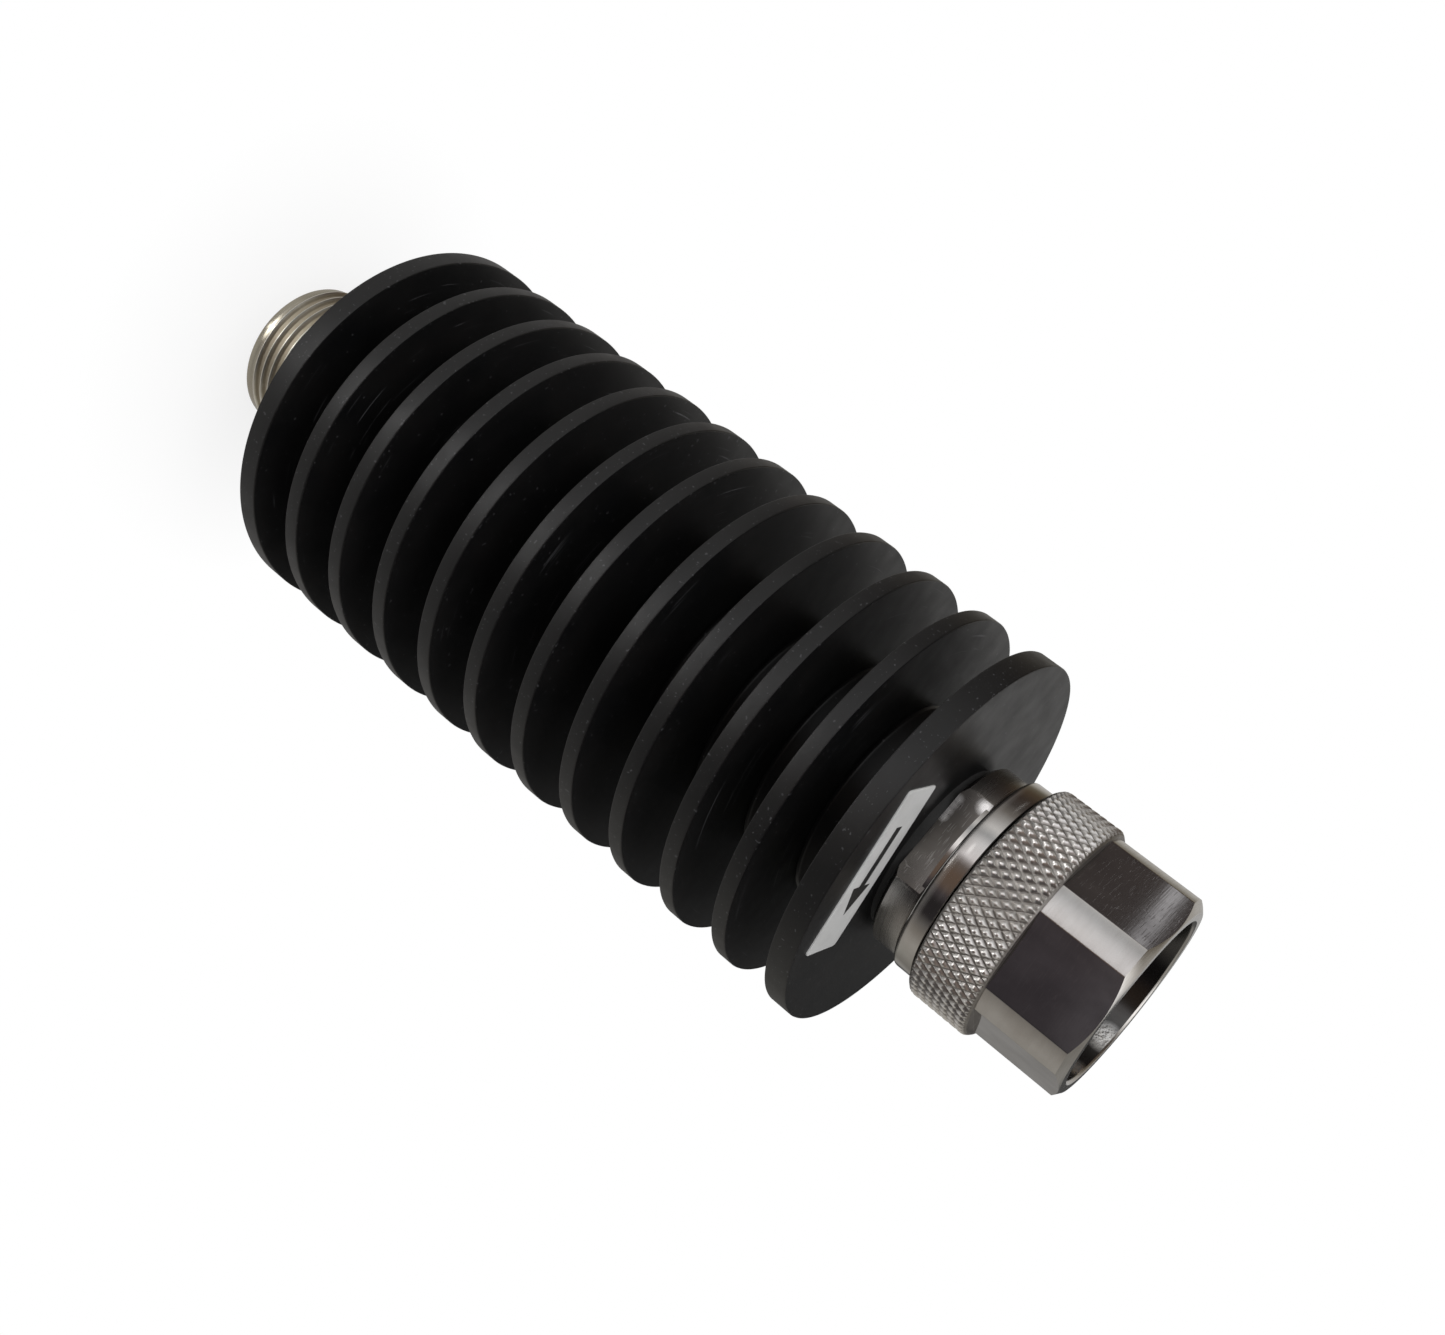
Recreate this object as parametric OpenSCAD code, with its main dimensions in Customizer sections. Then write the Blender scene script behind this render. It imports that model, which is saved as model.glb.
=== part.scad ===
// In-line coaxial attenuator: a finned body with a female connector below and a male connector on top.
// The long axis is Z. The end face of the female barrel lies on z = 0.

/* [Heatsink] */
// Outer diameter of the fins
fin_d = 38; // [34:0.5:44]
// Number of fins, the two end fins included
fin_count = 12; // [10:1:14]
// Thickness of an inner fin
fin_t = 1.6; // [1.2:0.1:2.2]
// Thickness of the end fin beside the female connector
jack_fin_t = 2.1; // [1.6:0.1:3]
// Thickness of the end fin beside the male connector
plug_fin_t = 2.4; // [1.6:0.1:3]
// Clear gap between two fins
fin_gap = 4.5; // [4:0.1:6]
// Diameter of the core that the fins stand on
core_d = 20; // [18:0.5:24]
// Chamfer on the rims of the fins
fin_edge = 0.15; // [0.05:0.05:0.3]
// Radius at the foot of a fin
fin_root = 0.4; // [0.2:0.1:0.8]
// Diameter of the bore that holds the cartridge
sink_bore_d = 13; // [12.4:0.1:13.4]

/* [Connector seats] */
// Diameter of the threaded stub of each connector
stub_d = 14; // [13.8:0.1:15]
// Depth to which a stub is screwed in
stub_len = 8; // [6:0.5:10]
// Gap between the female connector and its end fin, filled by the seat ring
jack_gap = 1.1; // [0.6:0.1:1.6]
// Gap between the male connector and its end fin, filled by the seat ring
plug_gap = 0.8; // [0.6:0.1:1.6]
// Radial width of a seat ring
seat_ring_w = 1.2; // [0.8:0.1:1.3]
// Diameter of the wrench base of each connector
base_d = 18.6; // [17.5:0.1:19.5]
// Distance across the two wrench flats of a base
base_flats = 16; // [15:0.25:17]
// Chamfer on the edge of a base
base_edge = 0.4; // [0.2:0.1:0.6]

/* [Female connector] */
// Major diameter of the outer thread
jack_d = 15.88; // [15.5:0.02:16]
// Diameter of the thread relief
jack_root_d = 14.6; // [14.2:0.1:15]
// Diameter of the plain lead at the mouth
jack_lead_d = 15.4; // [14.6:0.1:15.6]
// Length of the plain lead at the mouth
jack_lead = 1.3; // [0.8:0.1:2]
// Length of the outer thread
jack_thread = 9.2; // [8:0.2:11]
// Width of the relief behind the thread
jack_relief = 1; // [0.6:0.1:1.6]
// Thickness of the wrench flange
jack_flange = 1.9; // [1.5:0.1:3]
// Diameter of the mating bore
jack_bore_d = 8.1; // [8.03:0.01:8.3]
// Depth of the mating bore
jack_depth = 9.1; // [8.5:0.1:9.4]
// Chamfer at the mouth of the mating bore
jack_mouth = 0.5; // [0.3:0.1:0.8]
// Length of the socket in front of the insulator
socket_len = 5.3; // [4.5:0.1:6]
// Turn of the wrench flats about Z
jack_turn = 35; // [0:5:90]

/* [Male connector] */
// Length of the wrench base
plug_base = 2.9; // [2.4:0.1:4]
// Width of the groove between base and collar
plug_groove = 0.25; // [0.2:0.05:0.5]
// Depth of that groove below the base
plug_groove_depth = 0.3; // [0.2:0.1:0.6]
// Diameter of the polished collar
collar_d = 19.8; // [19:0.1:20.6]
// Length of the polished collar
collar_len = 2.05; // [1.6:0.05:3]
// Rounding on the edges of the collar
collar_edge = 0.2; // [0.1:0.05:0.3]
// Turn of the wrench flats about Z
plug_turn = -97.5; // [-180:2.5:180]
// Diameter of the barrel on which the nut turns
barrel_d = 12.9; // [12.6:0.1:13.2]
// Height of the contact sleeve above the gasket seat
sleeve_reach = 10.3; // [9.6:0.1:10.6]
// Length of the sleeve that is pressed into the body
sleeve_seat = 4; // [3:0.5:5]
// Outer diameter of the contact sleeve
sleeve_d = 8; // [7.9:0.02:8.02]
// Outer diameter of the sleeve's root, which is pressed in and stands up to the gasket's face
sleeve_root_d = 8.4; // [8.2:0.1:8.8]
// Number of slots in the contact sleeve
sleeve_slots = 6; // [4:1:8]
// Distance from the sleeve's tip down to the shoulder of the pin
pin_shoulder = 5.3; // [5:0.1:5.8]
// Diameter of the pin
pin_d = 1.64; // [1.6:0.02:1.68]
// Thickness of the face gasket
gasket_t = 1.3; // [1:0.1:1.6]

/* [Coupling nut] */
// Overall length of the nut
nut_len = 15.2; // [14:0.1:17]
// Gap between the collar and the nut
nut_gap = 0.3; // [0.2:0.05:0.5]
// Diameter over the knurled band
knurl_d = 21.8; // [21:0.1:23]
// Length of the knurled band
knurl_len = 6.25; // [5:0.25:7]
// Chamfer on both ends of the knurled band
knurl_edge = 0.35; // [0.2:0.05:0.5]
// Diameter of the turned front of the nut
nut_d = 20.6; // [20:0.1:21]
// Distance across the six flats
nut_flats = 19.1; // [18.6:0.1:19.6]
// Turn of the six flats about Z
nut_turn = 15; // [0:2.5:60]
// Radial size of the front chamfer
nut_chamfer_r = 0.85; // [0.5:0.05:1]
// Axial size of the front chamfer
nut_chamfer_z = 0.65; // [0.4:0.05:1]
// Diameter of the smooth mouth ahead of the thread
mouth_d = 16.7; // [16.2:0.1:17.2]
// Depth of the smooth mouth
mouth_len = 2.4; // [1.5:0.1:3]
// Minor diameter of the inner thread
nut_thread_d = 14.9; // [14.7:0.05:15.1]
// Length of the inner thread
nut_thread = 7.4; // [6:0.2:8]
// Diameter of the relief behind the inner thread
nut_relief_d = 16.2; // [16:0.1:16.6]
// Thickness of the flange that the retaining ring holds
nut_flange = 1.6; // [1.2:0.1:2]

/* [Retaining ring] */
// Wire thickness of the ring along the axis
clip_t = 0.6; // [0.5:0.05:0.8]
// Height of the ring outside the barrel
clip_out = 0.6; // [0.5:0.05:0.8]
// Depth of the ring in its groove
clip_in = 0.4; // [0.3:0.05:0.6]
// Opening of the ring, in degrees
clip_open = 50; // [30:5:80]
// Lip of the barrel in front of the ring
clip_lip = 0.7; // [0.5:0.1:1.2]

/* [Line and insulators] */
// Inner diameter of the outer conductor at the mating planes
line_d = 7; // [6.9:0.05:7.1]
// Diameter of the rear flange of each insulator
insulator_d = 8.86; // [8.4:0.02:9.2]
// Height of the male insulator above the end fin
plug_insulator = 7.5; // [6:0.1:8.5]
// Distance of the female insulator behind the mating plane
jack_recess = 0.3; // [0.2:0.1:0.6]
// Diameter of the mating part of both centre contacts
contact_d = 3.04; // [3:0.02:3.1]
// Diameter of the shafts and rods of the centre line
shaft_d = 2; // [1.8:0.05:2.2]
// Length of a contact's shaft inside the cartridge
shaft_tail = 2.5; // [2:0.5:4]
// Diameter of the spigot that joins shaft and rod
spigot_d = 1; // [0.8:0.05:1.2]
// Length of that spigot
spigot_len = 3; // [2:0.5:4]

/* [Cartridge] */
// Inner diameter of the air line in the cartridge
channel_d = 4.6; // [4.2:0.1:5]
// Length of the ceramic chip
chip_len = 16; // [12:0.5:18]
// Width of the ceramic chip
chip_w = 6.4; // [5:0.1:6.6]
// Thickness of the ceramic chip
chip_t = 1; // [0.6:0.1:1.4]
// Height of the space over the chip
chip_room = 2.5; // [2.2:0.1:3]
// Thickness of the ribbons that join rod and chip
ribbon_t = 0.25; // [0.15:0.05:0.4]
// Width of the ribbons
ribbon_w = 2.4; // [1.6:0.1:3]
// Overlap of a rod's milled end on the chip
rod_overlap = 2; // [1.5:0.25:3]
// Distance of a support bead from the end of the cartridge
bead_place = 6.5; // [6:0.5:8]
// Thickness of a support bead
bead_t = 2; // [1.5:0.1:3]
// Diameter of the carrier screws
screw_d = 1.4; // [1.2:0.1:1.6]
// Diameter of the heads of the carrier screws
screw_head_d = 2.6; // [2.2:0.1:2.8]
// Height of the heads of the carrier screws
screw_head_h = 1.2; // [0.9:0.1:1.3]
// Depth of the screws below the split of the carrier
screw_depth = 3; // [2:0.25:3.5]
// Distance of the screws from the long axis
screw_x = 4.2; // [4.1:0.05:4.4]
// Distance of the screws from the ends of the chip
screw_gap = 6; // [4:0.5:7]

/* [Label] */
// Length of the label strip
label_l = 16.6; // [12:0.1:18]
// Width of the label strip
label_w = 5.15; // [4:0.05:6]
// Thickness of the label strip
label_t = 0.15; // [0.1:0.05:0.3]
// Share of the room between the seat ring and the fin's rim that lies inside the strip
label_share = 0.305; // [0.1:0.005:0.5]
// Shift of the strip along its length
label_shift = 0.3; // [-1:0.1:1]
// Direction in which the strip faces, about Z
label_turn = -69.8; // [-180:0.1:180]

/* [Fits] */
// Radial clearance between round pieces that are assembled and stay put
seat_fit = 0.02; // [0.01:0.01:0.04]
// Radial clearance of the turning nut
run_fit = 0.05; // [0.03:0.01:0.08]
// Clearance on each side of the retaining ring
clip_fit = 0.06; // [0.03:0.01:0.1]

/* [Hidden] */
$fn = 96;

// Stations along the axis, from the female mouth upwards
flange_z = jack_lead + jack_thread + jack_relief;
sink_z = flange_z + jack_flange + jack_gap;
fin_pitch = fin_t + fin_gap;
sink_len = jack_fin_t + plug_fin_t + (fin_count - 2) * fin_t + (fin_count - 1) * fin_gap;
sink_top = sink_z + sink_len;
base_z = sink_top + plug_gap;
groove_z = base_z + plug_base;
collar_z = groove_z + plug_groove;
collar_top = collar_z + collar_len;
nut_z = collar_top + nut_gap;
nut_top = nut_z + nut_len;
hex_z = nut_z + knurl_len;
clip_z = nut_z + nut_flange + clip_fit;
gasket_z = clip_z + clip_t + clip_fit + clip_lip;
sleeve_z = gasket_z - sleeve_seat;
sleeve_tip = gasket_z + sleeve_reach;
cart_z = sink_z + stub_len;
cart_top = sink_top - stub_len;
cart_mid = (cart_z + cart_top) / 2;
chip_z = cart_mid - chip_len / 2;
chip_top = cart_mid + chip_len / 2;
plug_face = sink_top + plug_insulator;
jack_face = jack_depth + jack_recess;

// Radii that several pieces share
neck_depth = 0.4;
fin_r = fin_d / 2;
core_r = core_d / 2;
stub_r = stub_d / 2;
base_r = base_d / 2;
barrel_r = barrel_d / 2;
line_r = line_d / 2;
insulator_r = insulator_d / 2;
shaft_r = shaft_d / 2;
clip_r_in = barrel_r - clip_in;
clip_r_out = barrel_r + clip_out;
neck_r = stub_r - neck_depth;
ring_in_r = stub_r + seat_fit;
ring_out_r = ring_in_r + seat_ring_w;
label_in = ring_out_r + label_share * (fin_r - ring_out_r - label_w);
cart_r = sink_bore_d / 2 - run_fit;

// Reach of the cutting tools beyond the piece, and their overlap
far = 30;
lap = 0.5;

// Inner radii and walls of the small contacts
socket_grip = 0.04;
socket_bore_r = pin_d / 2 + socket_grip;
socket_bore_depth = 4.6;
contact_slot = 0.25;
contact_edge = 0.25;
sleeve_slot = 0.4;
sleeve_slot_len = 4.4;
gasket_in_r = 4.7;
gasket_out_r = 6.3;
pin_point = 0.6;
ribbon_back = 0.3;
edge_steps = 4;
head_y = 1.4;
hex_key_d = 1.2;

// Quarter arc about a centre, from one angle to another, for turned profiles
function arc(cx, cz, r, a0, a1) =
    [for (k = [0:edge_steps]) let (a = a0 + (a1 - a0) * k / edge_steps) [cx + r * cos(a), cz + r * sin(a)]];

// First height and thickness of a fin, counted from the female end
function fin_z(i) = i == 0 ? sink_z : sink_z + jack_fin_t + fin_gap + (i - 1) * fin_pitch;
function fin_w(i) = i == 0 ? jack_fin_t : i == fin_count - 1 ? plug_fin_t : fin_t;

// Rim and feet of one fin, as a stretch of the turned profile
function fin_outline(i) = let (z0 = fin_z(i), z1 = fin_z(i) + fin_w(i)) concat(
    i == 0 ? [] : arc(core_r + fin_root, z0 - fin_root, fin_root, 180, 90),
    [[fin_r - fin_edge, z0], [fin_r, z0 + fin_edge], [fin_r, z1 - fin_edge], [fin_r - fin_edge, z1]],
    i == fin_count - 1 ? [] : arc(core_r + fin_root, z1 + fin_root, fin_root, 270, 180));

// Two parallel cuts that leave wrench flats between two heights
module wrench_cuts(across, z0, z1, turn) {
    for (side = [0, 180])
        rotate(turn + side) translate([across / 2, -far, z0]) cube([far, 2 * far, z1 - z0]);
}

// Ring that fills the gap between a connector and the end fin
module seat_ring(z, gap) {
    rotate_extrude() translate([ring_in_r, z]) square([seat_ring_w, gap]);
}

module heatsink() {
    bore_r = sink_bore_d / 2;
    hole_r = stub_r + seat_fit;
    color([0.06, 0.06, 0.065]) rotate_extrude() polygon(concat(
        [[hole_r, sink_z]],
        [for (i = [0:fin_count - 1]) for (p = fin_outline(i)) p],
        [[hole_r, sink_top], [hole_r, cart_top], [bore_r, cart_top], [bore_r, cart_z], [hole_r, cart_z]]));
}

module port_label() {
    color([0.82, 0.83, 0.82]) rotate(label_turn)
        translate([label_in, label_shift - label_l / 2, sink_top])
            cube([label_w, label_l, label_t]);
}

module female_shell() {
    thread_r = jack_d / 2;
    root_r = jack_root_d / 2;
    lead_r = jack_lead_d / 2;
    bore_r = jack_bore_d / 2;
    rear_r = insulator_r + seat_fit;
    thread_end = jack_lead + jack_thread;
    crest = thread_r - root_r;
    top_z = flange_z + jack_flange;
    color([0.66, 0.63, 0.56]) difference() {
        rotate_extrude() polygon([
            [bore_r + jack_mouth, 0], [lead_r - base_edge, 0], [lead_r, base_edge],
            [lead_r, jack_lead - thread_r + lead_r], [thread_r, jack_lead],
            [thread_r, thread_end - crest], [root_r, thread_end], [root_r, flange_z],
            [base_r - base_edge, flange_z], [base_r, flange_z + base_edge],
            [base_r, top_z - base_edge], [base_r - base_edge, top_z],
            [neck_r, top_z], [neck_r, sink_z + lap], [stub_r, sink_z + lap], [stub_r, cart_z],
            [rear_r, cart_z], [rear_r, sink_z], [line_r, sink_z],
            [line_r, jack_depth], [bore_r, jack_depth], [bore_r, jack_mouth]]);
        wrench_cuts(base_flats, flange_z - lap, top_z + lap, jack_turn);
    }
}

module female_insulator() {
    front_r = line_r - seat_fit;
    color([0.93, 0.93, 0.91]) rotate_extrude() polygon([
        [shaft_r + seat_fit, jack_face], [front_r, jack_face], [front_r, sink_z],
        [insulator_r, sink_z], [insulator_r, cart_z], [shaft_r + seat_fit, cart_z]]);
}

module female_socket() {
    tip_z = jack_face - socket_len;
    front_r = contact_d / 2;
    tail_z = cart_z + shaft_tail;
    color([0.83, 0.66, 0.32]) difference() {
        rotate_extrude() polygon([
            [socket_bore_r, tip_z], [front_r - contact_edge, tip_z], [front_r, tip_z + contact_edge],
            [front_r, jack_face], [shaft_r, jack_face], [shaft_r, tail_z],
            [spigot_d / 2, tail_z], [spigot_d / 2, tail_z + spigot_len], [0, tail_z + spigot_len],
            [0, tip_z + socket_bore_depth], [socket_bore_r, tip_z + socket_bore_depth]]);
        for (a = [0, 90])
            rotate(a) translate([-far / 2, -contact_slot / 2, tip_z - lap])
                cube([far, contact_slot, socket_bore_depth]);
    }
}

module female_seat_ring() {
    color([0.03, 0.03, 0.03]) seat_ring(sink_z - jack_gap, jack_gap);
}

module male_shell() {
    rear_r = insulator_r + seat_fit;
    seat_r = sleeve_root_d / 2 + seat_fit;
    groove_r = base_r - plug_groove_depth;
    ring_groove_r = clip_r_in - clip_fit;
    ring_groove_top = clip_z + clip_t + clip_fit;
    collar_r = collar_d / 2;
    color([0.66, 0.65, 0.62]) difference() {
        rotate_extrude() polygon(concat(
            [[rear_r, cart_top], [stub_r, cart_top], [stub_r, sink_top - lap], [neck_r, sink_top - lap],
             [neck_r, base_z], [base_r - base_edge, base_z], [base_r, base_z + base_edge],
             [base_r, groove_z], [groove_r, groove_z], [groove_r, collar_z]],
            arc(collar_r - collar_edge, collar_z + collar_edge, collar_edge, -90, 0),
            arc(collar_r - collar_edge, collar_top - collar_edge, collar_edge, 0, 90),
            [[barrel_r, collar_top], [barrel_r, clip_z], [ring_groove_r, clip_z],
             [ring_groove_r, ring_groove_top], [barrel_r, ring_groove_top], [barrel_r, gasket_z],
             [seat_r, gasket_z], [seat_r, sleeve_z], [line_r, sleeve_z],
             [line_r, sink_top], [rear_r, sink_top]]));
        wrench_cuts(base_flats, base_z - lap, groove_z, plug_turn);
    }
}

module male_sleeve() {
    root_r = sleeve_root_d / 2;
    front_r = sleeve_d / 2;
    root_top = gasket_z + gasket_t;
    color([0.78, 0.77, 0.74]) difference() {
        rotate_extrude() polygon([
            [line_r, sleeve_z], [root_r, sleeve_z], [root_r, root_top], [front_r, root_top],
            [front_r, sleeve_tip - contact_edge], [front_r - contact_edge, sleeve_tip],
            [line_r, sleeve_tip]]);
        for (k = [1:sleeve_slots])
            rotate(360 * (k - 0.5) / sleeve_slots)
                translate([0, -sleeve_slot / 2, sleeve_tip - sleeve_slot_len])
                    cube([far, sleeve_slot, sleeve_slot_len + lap]);
    }
}

module male_insulator() {
    front_r = line_r - seat_fit;
    color([0.93, 0.93, 0.91]) rotate_extrude() polygon([
        [shaft_r + seat_fit, cart_top], [insulator_r, cart_top], [insulator_r, sink_top],
        [front_r, sink_top], [front_r, plug_face], [shaft_r + seat_fit, plug_face]]);
}

module male_pin() {
    shoulder_z = sleeve_tip - pin_shoulder;
    tail_z = cart_top - shaft_tail;
    color([0.83, 0.66, 0.32]) rotate_extrude() polygon([
        [0, tail_z - spigot_len], [spigot_d / 2, tail_z - spigot_len], [spigot_d / 2, tail_z],
        [shaft_r, tail_z], [shaft_r, plug_face], [contact_d / 2, plug_face],
        [contact_d / 2, shoulder_z - contact_edge], [contact_d / 2 - contact_edge, shoulder_z],
        [pin_d / 2, shoulder_z], [pin_d / 2, sleeve_tip - pin_point],
        [pin_d / 4, sleeve_tip], [0, sleeve_tip]]);
}

module male_seat_ring() {
    color([0.03, 0.03, 0.03]) seat_ring(sink_top, plug_gap);
}

module face_gasket() {
    color([0.05, 0.05, 0.05]) rotate_extrude()
        translate([gasket_in_r, gasket_z]) square([gasket_out_r - gasket_in_r, gasket_t]);
}

module retaining_ring() {
    color([0.75, 0.72, 0.62]) difference() {
        rotate_extrude() translate([clip_r_in, clip_z]) square([clip_r_out - clip_r_in, clip_t]);
        translate([0, 0, clip_z - lap]) linear_extrude(clip_t + 2 * lap) polygon([
            [0, 0], [far * cos(clip_open / 2), far * sin(clip_open / 2)],
            [far * cos(clip_open / 2), -far * sin(clip_open / 2)]]);
    }
}

module coupling_nut() {
    knurl_r = knurl_d / 2;
    front_r = nut_d / 2;
    mouth_r = mouth_d / 2;
    minor_r = nut_thread_d / 2;
    relief_r = nut_relief_d / 2;
    thread_top = nut_top - mouth_len;
    thread_z = thread_top - nut_thread;
    color([0.70, 0.68, 0.64]) intersection() {
        rotate_extrude() polygon([
            [barrel_r + run_fit, nut_z], [knurl_r - knurl_edge, nut_z], [knurl_r, nut_z + knurl_edge],
            [knurl_r, hex_z - knurl_edge], [knurl_r - knurl_edge, hex_z], [front_r, hex_z],
            [front_r, nut_top - nut_chamfer_z], [front_r - nut_chamfer_r, nut_top],
            [mouth_r + contact_edge, nut_top], [mouth_r, nut_top - contact_edge], [mouth_r, thread_top],
            [minor_r, thread_top], [minor_r, thread_z], [relief_r, thread_z],
            [relief_r, nut_z + nut_flange], [barrel_r + run_fit, nut_z + nut_flange]]);
        union() {
            translate([0, 0, nut_z - lap]) cylinder(r = far, h = hex_z - nut_z + lap);
            rotate(nut_turn) translate([0, 0, nut_z - lap])
                cylinder(r = nut_flats / 2 / cos(30), h = nut_len + 2 * lap, $fn = 6);
        }
    }
}

// Half of the cartridge body: side -1 is the base under the chip, side 1 the cover
module carrier_half(side) {
    intersection() {
        translate([0, 0, cart_z]) cylinder(r = cart_r, h = cart_top - cart_z);
        translate([-far, side > 0 ? 0 : -far, cart_z - lap])
            cube([2 * far, far, cart_top - cart_z + 2 * lap]);
    }
}

// Air line on both sides of the chip
module line_channels() {
    translate([0, 0, cart_z - lap]) cylinder(d = channel_d, h = chip_z - cart_z + lap);
    translate([0, 0, chip_top]) cylinder(d = channel_d, h = cart_top - chip_top + lap);
}

// Places of the carrier screws, each with its axis along Y and its split plane at y = 0
module at_screws() {
    for (z = [chip_z - screw_gap, chip_top + screw_gap], x = [-screw_x, screw_x])
        translate([x, 0, z]) rotate([-90, 0, 0]) children();
}

module carrier_base() {
    color([0.72, 0.58, 0.30]) difference() {
        carrier_half(-1);
        line_channels();
        translate([-chip_w / 2 - seat_fit, -ribbon_t - chip_t, chip_z])
            cube([chip_w + 2 * seat_fit, far, chip_len]);
        at_screws() translate([0, 0, -screw_depth]) cylinder(d = screw_d + 2 * seat_fit, h = far);
    }
}

module carrier_cover() {
    color([0.72, 0.58, 0.30]) difference() {
        carrier_half(1);
        line_channels();
        translate([-chip_w / 2 - seat_fit, -lap, chip_z])
            cube([chip_w + 2 * seat_fit, chip_room + lap, chip_len]);
        at_screws() {
            translate([0, 0, -lap]) cylinder(d = screw_d + 2 * seat_fit, h = far);
            translate([0, 0, head_y]) cylinder(d = screw_head_d + 2 * seat_fit, h = far);
        }
    }
}

module carrier_screws() {
    color([0.45, 0.45, 0.46]) at_screws() difference() {
        union() {
            translate([0, 0, -screw_depth]) cylinder(d = screw_d, h = screw_depth + head_y + lap);
            translate([0, 0, head_y]) cylinder(d = screw_head_d, h = screw_head_h);
        }
        translate([0, 0, head_y + screw_head_h / 2]) cylinder(d = hex_key_d, h = screw_head_h, $fn = 6);
    }
}

module attenuator_chip() {
    color([0.90, 0.89, 0.85]) translate([-chip_w / 2, -ribbon_t - chip_t, chip_z])
        cube([chip_w, chip_t, chip_len]);
}

// Ribbon between the milled end of a rod and the chip's metal pad
module ribbon(z) {
    translate([-ribbon_w / 2, -ribbon_t, z]) cube([ribbon_w, ribbon_t, rod_overlap - ribbon_back]);
}

module output_ribbon() {
    color([0.86, 0.70, 0.35]) ribbon(chip_z + ribbon_back);
}

module input_ribbon() {
    color([0.86, 0.70, 0.35]) ribbon(chip_top - rod_overlap);
}

// Rod of the centre line from the cartridge's lower end to the chip, bored for the spigot
module centre_rod() {
    rod_z = cart_z + shaft_tail;
    rod_top = chip_z + rod_overlap;
    difference() {
        translate([0, 0, rod_z]) cylinder(d = shaft_d, h = rod_top - rod_z);
        translate([0, 0, rod_z - lap])
            cylinder(d = spigot_d + 2 * seat_fit, h = spigot_len + ribbon_back + lap);
        translate([-far, -far, chip_z - seat_fit]) cube([2 * far, far, far]);
    }
}

module output_rod() {
    color([0.83, 0.66, 0.32]) centre_rod();
}

module input_rod() {
    color([0.83, 0.66, 0.32]) translate([0, 0, 2 * cart_mid]) mirror([0, 0, 1]) centre_rod();
}

module support_bead(z) {
    translate([0, 0, z]) rotate_extrude() translate([shaft_r + seat_fit, 0])
        square([channel_d / 2 - shaft_r - 2 * seat_fit, bead_t]);
}

module output_bead() {
    color([0.93, 0.93, 0.91]) support_bead(cart_z + bead_place);
}

module input_bead() {
    color([0.93, 0.93, 0.91]) support_bead(cart_top - bead_place - bead_t);
}

heatsink();
port_label();
female_shell();
female_insulator();
female_socket();
female_seat_ring();
male_shell();
male_sleeve();
male_insulator();
male_pin();
male_seat_ring();
face_gasket();
retaining_ring();
coupling_nut();
carrier_base();
carrier_cover();
carrier_screws();
attenuator_chip();
output_ribbon();
input_ribbon();
output_rod();
input_rod();
output_bead();
input_bead();
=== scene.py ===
import logging
import math
from collections.abc import Callable, Iterable
from dataclasses import dataclass, field
from enum import Enum

import bmesh
import bpy
from mathutils import Matrix, Vector


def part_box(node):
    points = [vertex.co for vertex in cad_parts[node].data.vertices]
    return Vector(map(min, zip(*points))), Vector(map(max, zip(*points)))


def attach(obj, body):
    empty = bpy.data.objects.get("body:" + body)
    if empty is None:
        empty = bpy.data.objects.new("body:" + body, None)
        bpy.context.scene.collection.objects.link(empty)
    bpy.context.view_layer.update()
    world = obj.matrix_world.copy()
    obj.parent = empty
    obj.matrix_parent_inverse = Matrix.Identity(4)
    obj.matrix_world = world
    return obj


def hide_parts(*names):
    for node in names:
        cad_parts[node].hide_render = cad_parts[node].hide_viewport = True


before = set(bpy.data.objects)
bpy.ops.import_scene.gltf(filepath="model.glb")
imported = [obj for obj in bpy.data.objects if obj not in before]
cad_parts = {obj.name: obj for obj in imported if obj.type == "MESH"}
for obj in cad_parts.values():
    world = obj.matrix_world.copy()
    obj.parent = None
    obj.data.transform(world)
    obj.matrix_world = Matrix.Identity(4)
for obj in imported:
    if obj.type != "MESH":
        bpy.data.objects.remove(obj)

# Sizes and places are in millimetres and degrees. Blender takes metres and radians, and the depths
# of the finishes' bumps are in metres too.
MM = 0.001
BODY = "attenuator"
NUT = "nut"
SHARP = 28.0
# Margin by which two radii or heights are told apart.
HAIR = 0.02
log = logging.getLogger("attenuator")

Span = tuple[float, float]
Colour = tuple[float, float, float]
Place = tuple[float, float, float]
Spot = tuple[float, float, float, float]
Outline = list[Span]
Rule = Callable[[Vector], bool]
Material = bpy.types.Material
Socket = bpy.types.NodeSocket


class Region(Enum):
    """Parts of a turned piece that take a finish of their own, by material index."""

    ROUND = 0
    FLAT = 1
    PATTERN = 2
    INNER = 3


def reach(p: Vector) -> float:
    """Returns a place's distance from the long axis."""
    return math.hypot(p.x, p.y)


def anywhere(p: Vector) -> bool:
    """Holds at every place."""
    return True


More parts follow.
